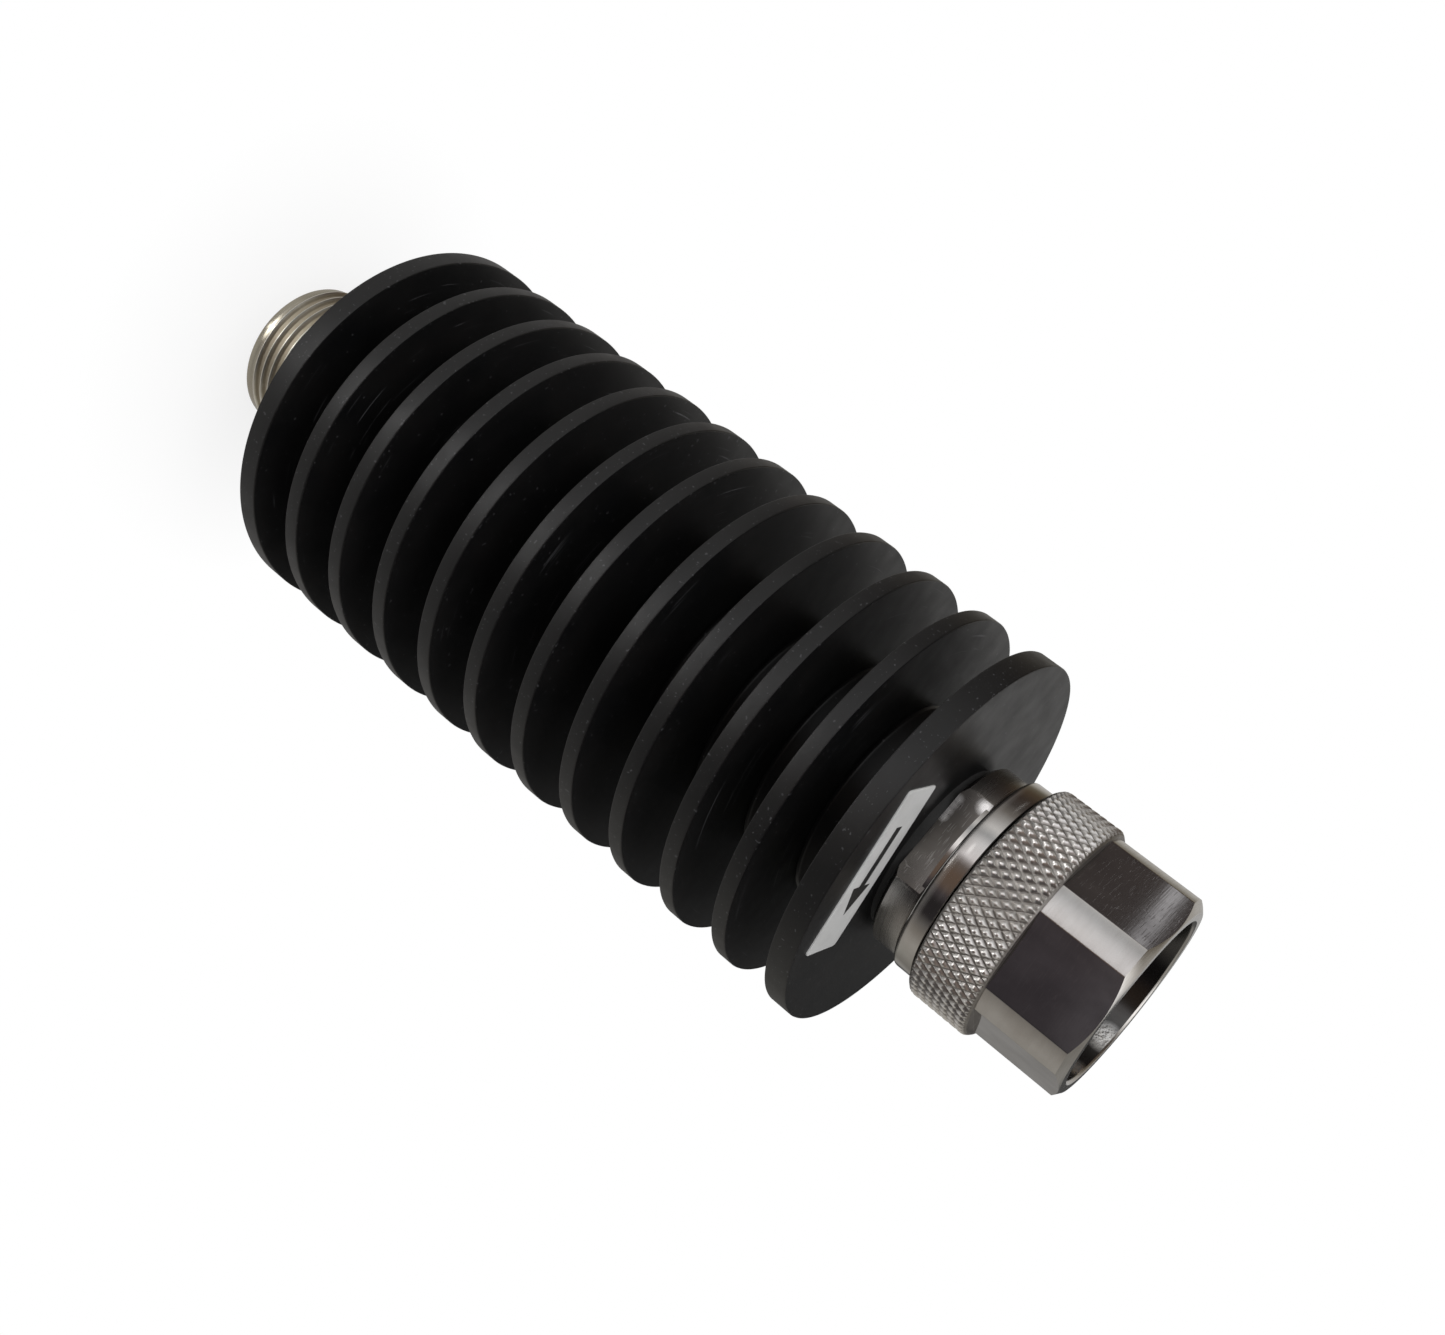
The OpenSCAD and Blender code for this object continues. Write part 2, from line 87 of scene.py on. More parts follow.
class NodeKit:
    """Short calls for the nodes of one tree."""

    def __init__(self, tree: bpy.types.NodeTree) -> None:
        """Works on a tree of nodes."""
        self.tree = tree

    def feed(self, socket: Socket, value: object) -> None:
        """Links or sets a socket.

        Args:
            socket: The socket to fill.
            value: A socket to link from, or a value to set.
        """
        if isinstance(value, Socket):
            self.tree.links.new(value, socket)
        else:
            socket.default_value = value

    def fill(self, node: bpy.types.Node, **inputs: object) -> bpy.types.Node:
        """Fills a node's inputs by name.

        Args:
            node: The node.
            **inputs: Sockets or values, by input name with an underscore for each space.

        Returns:
            The node itself.
        """
        for name, value in inputs.items():
            self.feed(node.inputs[name.replace("_", " ")], value)
        return node

    def node(self, kind: str, operation: str | None = None, **inputs: object) -> bpy.types.Node:
        """Adds a node and fills its inputs.

        Args:
            kind: The node's type.
            operation: Its operation, where it has one.
            **inputs: Sockets or values, by input name.

        Returns:
            The new node.
        """
        made = self.tree.nodes.new(kind)
        if operation:
            made.operation = operation
        return self.fill(made, **inputs)

    def stack(self, kind: str, *values: object) -> Socket:
        """Adds a node and fills its inputs in their order.

        Args:
            kind: The node's type.
            *values: Sockets or values.

        Returns:
            The node's first output.
        """
        made = self.tree.nodes.new(kind)
        for socket, value in zip(made.inputs, values):
            self.feed(socket, value)
        return made.outputs[0]

    def maths(self, operation: str, a: object, b: object = 0.0, clamp: bool = False) -> Socket:
        """Adds a math node.

        Args:
            operation: The node's operation.
            a: First operand, a socket or a number.
            b: Second operand.
            clamp: Whether the result is kept between 0 and 1.

        Returns:
            The result's socket.
        """
        made = self.tree.nodes.new("ShaderNodeMath")
        made.operation = operation
        made.use_clamp = clamp
        self.feed(made.inputs[0], a)
        self.feed(made.inputs[1], b)
        return made.outputs[0]

    def times(self, first: object, *factors: object) -> Socket:
        """Multiplies sockets and numbers.

        Args:
            first: The first factor.
            *factors: The others.

        Returns:
            The product's socket.
        """
        for factor in factors:
            first = self.maths("MULTIPLY", first, factor)
        return first

    def band(self, value: object, low: float, high: float, start: float = 0.0, end: float = 1.0) -> Socket:
        """Maps a value to another range, clamped: low gives start and high gives end."""
        return self.stack("ShaderNodeMapRange", value, low, high, start, end)

    def blend(self, factor: object, a: object, b: object) -> Socket:
        """Mixes two colours.

        Args:
            factor: 0 gives a, 1 gives b.
            a: First colour, three numbers or a socket.
            b: Second colour.

        Returns:
            The mixed colour's socket.
        """
        made = self.tree.nodes.new("ShaderNodeMix")
        made.data_type = "RGBA"
        self.feed(made.inputs[0], factor)
        for place, colour in ((6, a), (7, b)):
            self.feed(made.inputs[place], (*colour, 1.0) if isinstance(colour, tuple) else colour)
        return made.outputs[2]


class Recipe(NodeKit):
    """A procedural material in the making, with the measures that its patterns read."""

    def __init__(self, name: str) -> None:
        """Starts a material and its measures: place, height, radius and direction from the axis.

        Args:
            name: The material's name.
        """
        self.material = bpy.data.materials.new(name)
        self.material.use_nodes = True
        super().__init__(self.material.node_tree)
        self.shader = next(n for n in self.tree.nodes if n.type == "BSDF_PRINCIPLED")
        self.place = self.node("ShaderNodeTexCoord").outputs["Object"]
        x, y, self.z = self.node("ShaderNodeSeparateXYZ", Vector=self.place).outputs
        flat = self.node("ShaderNodeCombineXYZ", X=x, Y=y).outputs[0]
        self.radius = self.node("ShaderNodeVectorMath", "LENGTH", Vector=flat).outputs["Value"]
        self.around = self.node("ShaderNodeVectorMath", "NORMALIZE", Vector=flat).outputs["Vector"]

    def show(self, pattern: "Cloud | Marks", start: float = 0.0, end: float = 1.0) -> Socket:
        """Draws a pattern: its noise gives start at the first value of shown and end at the second."""
        return self.band(pattern.draw(self), *pattern.shown, start, end)

    def layer(self, value: Socket, top: float, depths: Span, inward: bool = False) -> Socket:
        """Tells how far out a place is between two depths below the top, or how far inward."""
        low, high = ((top - depth) * MM for depth in depths)
        return self.band(value, low, high, float(inward), float(not inward))

    def near(self, spot: Spot, full: float = 0.3) -> Socket:
        """Gives 1 at a place and 0 from its reach on.

        Args:
            spot: The place and its reach, in millimetres.
            full: Share of the reach over which the factor stays 1.

        Returns:
            The factor's socket.
        """
        *centre, far = (k * MM for k in spot)
        apart = self.node("ShaderNodeVectorMath", "DISTANCE", Vector=self.place)
        self.feed(apart.inputs[1], centre)
        return self.band(apart.outputs["Value"], far * full, far, 1.0, 0.0)

    def bump(self, height: object, depth: float, strength: float = 1.0, under: object = None) -> Socket:
        """Turns a height into a bent normal.

        Args:
            height: The height's socket, 0 to 1.
            depth: The height in metres that 1 stands for.
            strength: How much of the bend shows.
            under: A normal that lies below this one.

        Returns:
            The normal's socket.
        """
        made = self.node("ShaderNodeBump", Height=height, Distance=depth, Strength=strength)
        if under is not None:
            self.fill(made, Normal=under)
        return made.outputs[0]

    def finish(self, **sockets: object) -> Material:
        """Fills the shader's sockets by name and returns the material."""
        self.fill(self.shader, **sockets)
        return self.material


@dataclass(frozen=True)
class Cloud:
    """Noise over the piece's own coordinates: scale in features per metre, and turn in radians."""

    scale: float
    detail: float = 3.0
    shown: Span = (0.3, 0.7)
    stretch: Place = (1.0, 1.0, 1.0)
    turn: float = 0.0

    def draw(self, recipe: Recipe) -> Socket:
        """Adds the noise to a recipe.

        Args:
            recipe: The recipe.

        Returns:
            The noise's factor.
        """
        mapping = recipe.node("ShaderNodeMapping", Vector=recipe.place, Scale=self.stretch,
                              Rotation=(0, 0, self.turn))
        noise = recipe.node("ShaderNodeTexNoise", Vector=mapping.outputs[0], Scale=self.scale,
                            Detail=self.detail)
        return noise.outputs[0]


@dataclass(frozen=True)
class Marks:
    """Noise that runs round the axis like the marks of a turning tool, by marks per metre."""

    across: float
    along: float
    changes: float
    detail: float = 2.0
    shown: Span = (0.3, 0.7)

    def draw(self, recipe: Recipe) -> Socket:
        """Adds the marks to a recipe.

        Args:
            recipe: The recipe.

        Returns:
            The noise's factor.
        """
        lift = recipe.node("ShaderNodeCombineXYZ", Z=recipe.times(recipe.z, self.along)).outputs[0]
        spun = recipe.node("ShaderNodeVectorMath", "SCALE", Vector=recipe.around, Scale=self.changes)
        point = recipe.stack("ShaderNodeVectorMath", lift, spun.outputs["Vector"])
        noise = recipe.node("ShaderNodeTexNoise", Vector=point, Scale=1.0, Detail=self.detail)
        noise.noise_dimensions = "4D"
        recipe.fill(noise, W=recipe.times(recipe.radius, self.across))
        return noise.outputs[0]


@dataclass(frozen=True)
class BlackAnodise:
    """Satin black anodised aluminium with rims rubbed paler, turning marks, arc scratches and dust.

    The depths are measured in from the rim or down from the end face, in millimetres.
    """

    rim: float
    face: float
    name: str = "black_anodise"
    dark: Colour = (0.0030, 0.0030, 0.0033)
    pale: Colour = (0.0060, 0.0056, 0.0056)
    rubbed: Colour = (0.0050, 0.0049, 0.0050)
    scratch: Colour = (0.070, 0.070, 0.074)
    roughness: Span = (0.36, 0.44)
    shine: float = 0.45
    mark_depth: float = 0.000008
    mark_strength: float = 0.5
    below_face: Span = (0.1, 0.02)
    scratch_free: Span = (1.4, 0.6)
    rubbed_rim: Span = (0.2, 0.04)
    nicked_rim: Span = (0.7, 0.1)
    cloud: Cloud = Cloud(170.0, shown=(0.35, 0.7))
    marks: Marks = Marks(9000.0, 9000.0, 1.2)
    arcs: Marks = Marks(5200.0, 900.0, 2.2, 1.0, (0.67, 0.71))
    patches: Cloud = Cloud(120.0, 2.0, (0.50, 0.62), (1.0, 1.0, 0.6))
    dust: Cloud = Cloud(2600.0, 0.0, (0.80, 0.83))
    nicks: Cloud = Cloud(3600.0, 1.0, (0.70, 0.76))
    wipes: Cloud = Cloud(400.0, 2.0)
    arc_strength: float = 0.9
    dust_strength: float = 0.5
    nick_strength: float = 0.6

    def build(self) -> Material:
        """Builds the material.

        Returns:
            The material.
        """
        recipe = Recipe(self.name)
        side = recipe.layer(recipe.z, self.face, self.below_face, True)
        inside = recipe.layer(recipe.radius, self.rim, self.scratch_free, True)
        rim = recipe.layer(recipe.radius, self.rim, self.rubbed_rim)
        edge = recipe.layer(recipe.radius, self.rim, self.nicked_rim)
        arcs = recipe.times(recipe.show(self.arcs), recipe.show(self.patches), side, inside)
        dust = recipe.times(recipe.show(self.dust), self.dust_strength)
        nicks = recipe.times(recipe.show(self.nicks), edge, self.nick_strength)
        colour = recipe.blend(recipe.show(self.cloud), self.dark, self.pale)
        colour = recipe.blend(rim, colour, self.rubbed)
        colour = recipe.blend(recipe.times(arcs, self.arc_strength), colour, self.scratch)
        colour = recipe.blend(recipe.maths("MAXIMUM", dust, nicks), colour, self.scratch)
        marks = recipe.times(self.marks.draw(recipe), side)
        normal = recipe.bump(marks, self.mark_depth, self.mark_strength)
        rough = recipe.show(self.wipes, *self.roughness)
        return recipe.finish(Base_Color=colour, Roughness=rough, Normal=normal,
                             Specular_IOR_Level=self.shine)


@dataclass(frozen=True)
class TurnedMetal:
    """Bright metal off the lathe, with fine grooves round the axis and a slight stain."""

    name: str
    colour: Colour
    stain: Colour
    roughness: Span = (0.16, 0.26)
    groove_depth: float = 0.000004
    groove_strength: float = 0.6
    grooves: Marks = Marks(12000.0, 12000.0, 1.5)
    bands: Marks = Marks(1500.0, 1500.0, 2.5, shown=(0.45, 0.7))
    band_strength: float = 0.35
    cloud: Cloud = Cloud(260.0, shown=(0.35, 0.75))

    def build(self) -> Material:
        """Builds the material.

        Returns:
            The material.
        """
        recipe = Recipe(self.name)
        grooves = self.grooves.draw(recipe)
        colour = recipe.blend(recipe.show(self.cloud), self.colour, self.stain)
        colour = recipe.blend(recipe.show(self.bands, 0.0, self.band_strength), colour, self.stain)
        rough = recipe.band(grooves, *self.grooves.shown, *self.roughness)
        normal = recipe.bump(grooves, self.groove_depth, self.groove_strength)
        return recipe.finish(Base_Color=colour, Metallic=1.0, Roughness=rough, Normal=normal)


@dataclass(frozen=True)
class MilledMetal:
    """Bright metal cut flat, with straight cutter marks and handling scratches, and painted glints: pale
    spots whose colour stands in for highlights.
    """

    name: str
    colour: Colour
    stain: Colour
    roughness: Span = (0.22, 0.36)
    dull: Span = (0.3, 0.7)
    scratch_and_glint_colour: Colour = (0.86, 0.85, 0.83)
    scratches: float = 0.5
    scratch_depth: float = -0.00001
    scratch_strength: float = 0.5
    scratch_roughness: float = 0.3
    mark_depth: float = 0.000004
    mark_strength: float = 0.6
    # Places painted pale as glints: the colour there is a painted highlight, not worn metal.
    rubbed: tuple[Spot, ...] = ()
    glint_roughness: float = 0.0
    glint_speckle: Cloud = Cloud(1900.0, shown=(0.34, 0.52))
    dent_depth: float = 0.0
    dents: Cloud = Cloud(2600.0, 2.0)
    marks: Cloud = Cloud(1500.0, 2.0, stretch=(0.25, 0.25, 6.0))
    cloud: Cloud = Cloud(300.0, 4.0, (0.3, 0.75), (1.0, 1.0, 0.6))
    hairs: Cloud = Cloud(700.0, 1.0, (0.64, 0.68), (1.0, 1.0, 14.0), 0.6)
    nicks: Cloud = Cloud(900.0, 2.0, (0.68, 0.74), (2.5, 2.5, 0.8), 0.2)

    def build(self) -> Material:
        """Builds the material.

        Returns:
            The material.
        """
        recipe = Recipe(self.name)
        cloud = self.cloud.draw(recipe)
        worn = recipe.maths("MAXIMUM", recipe.show(self.hairs), recipe.show(self.nicks))
        worn = recipe.times(worn, self.scratches)
        # Painted glints: pale colour at the listed spots, broken up by a speckle, stands in for highlights.
        spot = 0.0
        for place in self.rubbed:
            spot = recipe.maths("MAXIMUM", spot, recipe.near(place))
        bright = recipe.times(recipe.show(self.glint_speckle), spot)
        colour = recipe.blend(recipe.band(cloud, *self.cloud.shown), self.colour, self.stain)
        # Pale colour from the scratches, which are real wear, and from the painted glints.
        colour = recipe.blend(recipe.maths("MAXIMUM", worn, bright), colour, self.scratch_and_glint_colour)
        rough = recipe.band(cloud, *self.dull, *self.roughness)
        rough = recipe.maths("ADD", rough, recipe.times(worn, self.scratch_roughness))
        rough = recipe.maths("ADD", rough, recipe.times(bright, self.glint_roughness))
        normal = recipe.bump(self.marks.draw(recipe), self.mark_depth, self.mark_strength)
        normal = recipe.bump(worn, self.scratch_depth, self.scratch_strength, normal)
        if self.dent_depth:
            pits = recipe.times(self.dents.draw(recipe), spot)
            normal = recipe.bump(pits, self.dent_depth, 1.0, normal)
        return recipe.finish(Base_Color=colour, Metallic=1.0, Roughness=rough, Normal=normal)


@dataclass(frozen=True)
class ReliefMetal:
    """Metal that is paler on its crests and darker in its hollows, by distance from the axis: the crests
    are worn bright and carry a painted highlight, and the hollows carry painted shade.
    """

    name: str
    crest: Colour
    shaded_valley: Colour
    radii: Span
    roughness: Span
    cloud: Cloud = Cloud(1400.0)
    cloud_strength: float = 0.15
    grain: Cloud = Cloud(9000.0, 2.0)
    grain_depth: float = 0.000006
    grain_strength: float = 0.4

    def build(self) -> Material:
        """Builds the material.

        Returns:
            The material.
        """
        recipe = Recipe(self.name)
        height = recipe.band(recipe.radius, *(k * MM for k in self.radii))
        cloud = recipe.show(self.cloud, -self.cloud_strength, self.cloud_strength)
        height = recipe.maths("ADD", height, cloud, True)
        # Painted light: darker towards the axis as painted shade, paler on the crests as painted highlight
        # over real wear.
        colour = recipe.blend(height, self.shaded_valley, self.crest)
        rough = recipe.band(height, 0.0, 1.0, *self.roughness)
        normal = recipe.bump(self.grain.draw(recipe), self.grain_depth, self.grain_strength)
        return recipe.finish(Base_Color=colour, Metallic=1.0, Roughness=rough, Normal=normal)


@dataclass(frozen=True)
class PlainFinish:
    """An even finish with a faint cloud in its colour and a fine grain."""

    name: str
    colour: Colour
    other: Colour
    roughness: Span
    metallic: float = 0.0
    cloud: Cloud = Cloud(400.0)
    grain: Cloud = Cloud(4000.0, 2.0)
    grain_depth: float = 0.000004
    grain_strength: float = 0.5

    def build(self) -> Material:
        """Builds the material.

        Returns:
            The material.
        """
        recipe = Recipe(self.name)
        grain = self.grain.draw(recipe)
        colour = recipe.blend(recipe.show(self.cloud), self.colour, self.other)
        rough = recipe.band(grain, *self.grain.shown, *self.roughness)
        normal = recipe.bump(grain, self.grain_depth, self.grain_strength)
        return recipe.finish(Base_Color=colour, Metallic=self.metallic, Roughness=rough, Normal=normal)


class Blank:
    """One mesh on the bench: stock is turned about the long axis, cut and softened, and then mounted."""

    def __init__(self, outline: Outline | None = None, steps: int = 0) -> None:
        """Turns a closed outline a full turn, or starts empty.

        Args:
            outline: Radius and height of each corner.
            steps: Number of columns round the axis.
        """
        self.bm = bmesh.new()
        if outline:
            self._spin(outline, math.tau, steps, 0.0, True)

    def sweep(self, outline: Outline, start: float, angle: float, steps: int, rise: float = 0.0) -> None:
        """Turns a closed outline through part of a turn, or up a screw line, and closes both ends.

        Args:
            outline: Radius and height of each corner.
            start: Azimuth at which the sweep begins, in radians.
            angle: How far it goes, in radians.
            steps: Number of columns.
            rise: Rise from one column to the next.
        """
        part = Blank()
        part._spin(outline, angle, steps, rise, False)
        bmesh.ops.holes_fill(part.bm, edges=[e for e in part.bm.edges if e.is_boundary])
        turned = Matrix.Rotation(start, 3, "Z")
        bmesh.ops.rotate(part.bm, verts=part.bm.verts, cent=(0, 0, 0), matrix=turned)
        self.join(part)

    def _spin(self, outline: Outline, angle: float, steps: int, rise: float, closed: bool) -> None:
        """Spins an outline about the long axis.

        Args:
            outline: Radius and height of each corner.
            angle: How far it goes, in radians.
            steps: Number of columns.
            rise: Rise from one column to the next.
            closed: Whether the last column meets the first.
        """
        corners = [self.bm.verts.new((r * MM, 0.0, z * MM)) for r, z in outline]
        sides = [self.bm.edges.new((a, b)) for a, b in zip(corners, corners[1:] + corners[:1])]
        bmesh.ops.spin(self.bm, geom=corners + sides, cent=(0, 0, 0), axis=(0, 0, 1),
                       dvec=(0, 0, rise * MM), angle=angle, steps=steps, use_merge=closed)

    def join(self, other: "Blank") -> None:
        """Takes in another blank's mesh, and empties that blank.

        Args:
            other: The blank to take in.
        """
        other.outward()
        mesh = bpy.data.meshes.new("joined")
        other.bm.to_mesh(mesh)
        other.bm.free()
        self.bm.from_mesh(mesh)
        bpy.data.meshes.remove(mesh)

    def outward(self) -> None:
        """Merges doubles and points every face outwards."""
        bmesh.ops.remove_doubles(self.bm, verts=self.bm.verts, dist=1e-8)
        bmesh.ops.recalc_face_normals(self.bm, faces=self.bm.faces)

    def mill_flats(self, count: int, across: float, azimuth: float) -> None:
        """Cuts flats that are parallel to the axis and evenly round it, and closes each cut.

        A corner that lies nearly on the plane of a cut is taken as on it, so no sliver is left.

        Args:
            count: Number of flats.
            across: Distance across two opposite flats.
            azimuth: Direction that the first flat faces.
        """
        for index in range(count):
            angle = math.radians(azimuth + 360 / count * index)
            facing = Vector((math.cos(angle), math.sin(angle), 0.0))
            everything = self.bm.verts[:] + self.bm.edges[:] + self.bm.faces[:]
            cut = bmesh.ops.bisect_plane(self.bm, geom=everything, dist=2e-6, clear_outer=True,
                                         plane_co=facing * across / 2 * MM, plane_no=facing)
            rim = [e for e in cut["geom_cut"] if isinstance(e, bmesh.types.BMEdge)]
            for face in bmesh.ops.holes_fill(self.bm, edges=rim)["faces"]:
                face.material_index = Region.FLAT.value

    def soften(self, width: float, segments: int, rule: Rule = anywhere, least: float = SHARP) -> None:
        """Rounds sharp edges.

        Args:
            width: Width of the rounding.
            segments: Number of faces across it.
            rule: Tells by an edge's middle whether it is rounded.
            least: Smallest angle between the faces of a sharp edge.
        """
        self.outward()
        sharp = [e for e in self.bm.edges if e.is_manifold and e.calc_face_angle() > math.radians(least)]
        chosen = [e for e in sharp if rule((e.verts[0].co + e.verts[1].co) / 2 / MM)]
        bmesh.ops.bevel(self.bm, geom=chosen, offset=width * MM, offset_type="OFFSET", segments=segments,
                        profile=0.5, affect="EDGES", clamp_overlap=True, material=-1)

    def shape(self, move: Callable[[Vector], Vector]) -> None:
        """Moves every vertex by a rule that gives its new place from its old one."""
        for vert in self.bm.verts:
            vert.co = move(vert.co / MM) * MM

    def paint(self, region: Region, rule: Rule = anywhere) -> None:
        """Gives faces the finish of a region, but leaves milled flats as they are.

        Args:
            region: The region.
            rule: Tells by a face's middle whether it belongs to the region.
        """
        for face in self.bm.faces:
            if face.material_index != Region.FLAT.value and rule(face.calc_center_median() / MM):
                face.material_index = region.value

    def mount(self, name: str, body: str, slot: str, finishes: Iterable[Material],
              replaces: Iterable[str] = (), smooth: bool = True) -> None:
        """Makes the object, dresses it and sets it on its body.

        Args:
            name: The piece's name.
            body: The body that it rides on.
            slot: Not used.
            finishes: Materials, in the order of Region.
            replaces: The nodes that it stands for.
            smooth: Whether its shading is smooth between sharp edges.
        """
        self.outward()
        for face in self.bm.faces:
            face.smooth = smooth
        for edge in self.bm.edges:
            edge.smooth = not (edge.is_manifold and edge.calc_face_angle() > math.radians(SHARP))
        mesh = bpy.data.meshes.new(name)
        self.bm.to_mesh(mesh)
        self.bm.free()
        for finish in finishes:
            mesh.materials.append(finish)
        piece = bpy.data.objects.new(name, mesh)
        bpy.context.scene.collection.objects.link(piece)
        if smooth:
            piece.modifiers.new("large faces lead", "WEIGHTED_NORMAL").keep_sharp = True
        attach(piece, body)
        if replaces:
            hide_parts(*replaces)
        log.info("%s: %d faces on %s", name, len(mesh.polygons), body)


@dataclass
class HeatSink:
    """The finned body: one outline with every fin, turned and softened, and the label beside the plug."""

    fins: int = 12
    fin_thick: float = 1.6
    first_fin_thick: float = 2.1
    last_fin_thick: float = 2.4
    fin_gap: float = 4.5
    core_radius: float = 10.0
    bore_radius: float = 6.5
    seat_radius: float = 7.02
    seat_depth: float = 8.0
    columns: int = 256
    rim_round: float = 0.15
    foot_round: float = 0.4
    label_size: Place = (5.15, 16.6, 0.15)
    label_centre: Span = (12.512, 0.3)
    label_azimuth: float = -69.8
    label_corner: float = 0.35
    label_edge: float = 0.03
    arrow_size: Span = (3.0, 9.0)
    ink_thick: float = 0.012
    low: float = field(init=False)
    high: float = field(init=False)
    radius: float = field(init=False)

    def __post_init__(self) -> None:
        """Reads the heat sink's ends and radius from the frame."""
        lowest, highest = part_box("heatsink")
        self.low, self.high, self.radius = lowest.z / MM, highest.z / MM, highest.x / MM

    def outline(self) -> Outline:
        """Works out the section, fins and bores included.

        Returns:
            The closed outline.
        """
        points: Outline = [(self.seat_radius, self.low)]
        z = self.low
        thicknesses = [self.first_fin_thick] + [self.fin_thick] * (self.fins - 2) + [self.last_fin_thick]
        for index, thick in enumerate(thicknesses):
            if index:
                points.append((self.core_radius, z))
            points += [(self.radius, z), (self.radius, z + thick)]
            if index < self.fins - 1:
                points.append((self.core_radius, z + thick))
            z += thick + self.fin_gap
        top, bottom = self.high - self.seat_depth, self.low + self.seat_depth
        points += [(self.seat_radius, self.high), (self.seat_radius, top), (self.bore_radius, top)]
        points += [(self.bore_radius, bottom), (self.seat_radius, bottom)]
        return points

    def build_sink(self, finish: Material) -> None:
        """Turns the sink, rounds its rims and fills the feet of its fins.

        Args:
            finish: The anodised finish.
        """
        blank = Blank(self.outline(), self.columns)
        blank.soften(self.rim_round, 2, lambda p: reach(p) > self.radius - self.rim_round * 2)
        blank.soften(self.foot_round, 3, lambda p: abs(reach(p) - self.core_radius) < self.foot_round / 4)
        blank.mount("sink", BODY, "anodised_sink", [finish], ["heatsink"])

    def label_place(self) -> Matrix:
        """Works out how the label lies on the end face.

        Returns:
            The transform from the label's own middle.
        """
        x, y = self.label_centre
        lifted = Matrix.Translation(Vector((x, y, self.high + self.label_size[2] / 2)) * MM)
        return Matrix.Rotation(math.radians(self.label_azimuth), 4, "Z") @ lifted

    def build_label(self, foil: Material) -> None:
        """Cuts the label strip.

        Args:
            foil: The strip's finish.
        """
        thick = self.label_size[2]
        blank = Blank()
        bmesh.ops.create_cube(blank.bm, size=1.0)
        bmesh.ops.scale(blank.bm, vec=Vector(self.label_size) * MM, verts=blank.bm.verts)
        blank.soften(self.label_corner, 4, lambda p: abs(p.z) < thick / 4)
        blank.soften(self.label_edge, 1, lambda p: p.z > thick / 4)
        bmesh.ops.transform(blank.bm, matrix=self.label_place(), verts=blank.bm.verts)
        blank.mount("label", BODY, "label_foil", [foil], ["port_label"])

    def build_arrow(self, ink: Material) -> None:
        """Prints a plain arrow on the label.

        Args:
            ink: The ink's finish.
        """
        half, tip = self.arrow_size[0] / 2, self.arrow_size[1] / 2
        shaft, barb = half / 3, tip - 2 * half
        corners = [(-shaft, -tip), (shaft, -tip), (shaft, barb), (half, barb), (0, tip), (-half, barb),
                   (-shaft, barb)]
        arrow = Blank()
        top = self.label_size[2] / 2
        face = arrow.bm.faces.new([arrow.bm.verts.new(Vector((x, y, top)) * MM) for x, y in corners])
        lifted = bmesh.ops.extrude_face_region(arrow.bm, geom=[face])["geom"]
        raised = [v for v in lifted if isinstance(v, bmesh.types.BMVert)]
        bmesh.ops.translate(arrow.bm, vec=(0, 0, self.ink_thick * MM), verts=raised)
        bmesh.ops.transform(arrow.bm, matrix=self.label_place(), verts=arrow.bm.verts)
        arrow.mount("label_arrow", BODY, "label_foil", [ink], smooth=False)


@dataclass
class ScrewThread:
    """A fine V thread, wound as one tooth up a screw line, which runs out at both ends."""

    crest_radius: float
    base_radius: float
    low: float
    high: float
    start: float
    region: Region
    outward: bool
    depth: float = 0.62
    crest: float = 0.14
    root: float = 0.20
    pitch: float = 25.4 / 24
    sunk: float = 0.15
    run_out: float = 0.3
    per_turn: int = 96

    def tooth(self) -> Outline:
        """Works out one tooth, with a foot that is sunk in the wall.

        Returns:
            The closed outline.
        """
        sign = 1 if self.outward else -1
        base = self.crest_radius - sign * self.depth
        foot = base - sign * self.sunk
        half_foot, half_crest = (self.pitch - self.root) / 2, self.crest / 2
        rising = [(foot, -half_foot), (base, -half_foot), (self.crest_radius, -half_crest)]
        falling = [(radius, -z) for radius, z in reversed(rising)]
        return [(radius, self.start + z) for radius, z in rising + falling]

    def settle(self, p: Vector) -> Vector:
        """Keeps a vertex inside two cones at 45 degrees that begin at the thread's ends.

        Args:
            p: The vertex's place.

        Returns:
            Its new place.
        """
        room = max(0.0, min(p.z - self.low, self.high - p.z))
        if self.outward:
            kept = min(reach(p), self.base_radius + room)
        else:
            kept = max(reach(p), self.base_radius - room)
        share = kept / reach(p)
        z = min(max(p.z, self.low - self.run_out), self.high + self.run_out)
        return Vector((p.x * share, p.y * share, z))

    def build(self) -> Blank:
        """Winds the thread.

        Returns:
            The thread, painted with its region.
        """
        turns = math.ceil((self.high - self.low) / self.pitch)
        wound = Blank()
        wound.sweep(self.tooth(), 0.0, math.tau * turns, turns * self.per_turn, self.pitch / self.per_turn)
        wound.shape(self.settle)
        wound.paint(self.region)
        return wound


@dataclass
class Connector:
    """What both connectors share: the line's bore, the neck and stub in the sink, and the contact."""

    line_radius: float = 3.5
    rear_radius: float = 4.45
    neck_radius: float = 6.6
    stub_radius: float = 7.0
    flats: float = 16.0
    contact_radius: float = 1.52
    shaft_radius: float = 1.0
    tail_radius: float = 0.5
    tail_length: float = 3.0
    axis_radius: float = 0.01
    tip_chamfer: float = 0.25
    edge_round: float = 0.06
    columns: int = 256
    contact_columns: int = 64


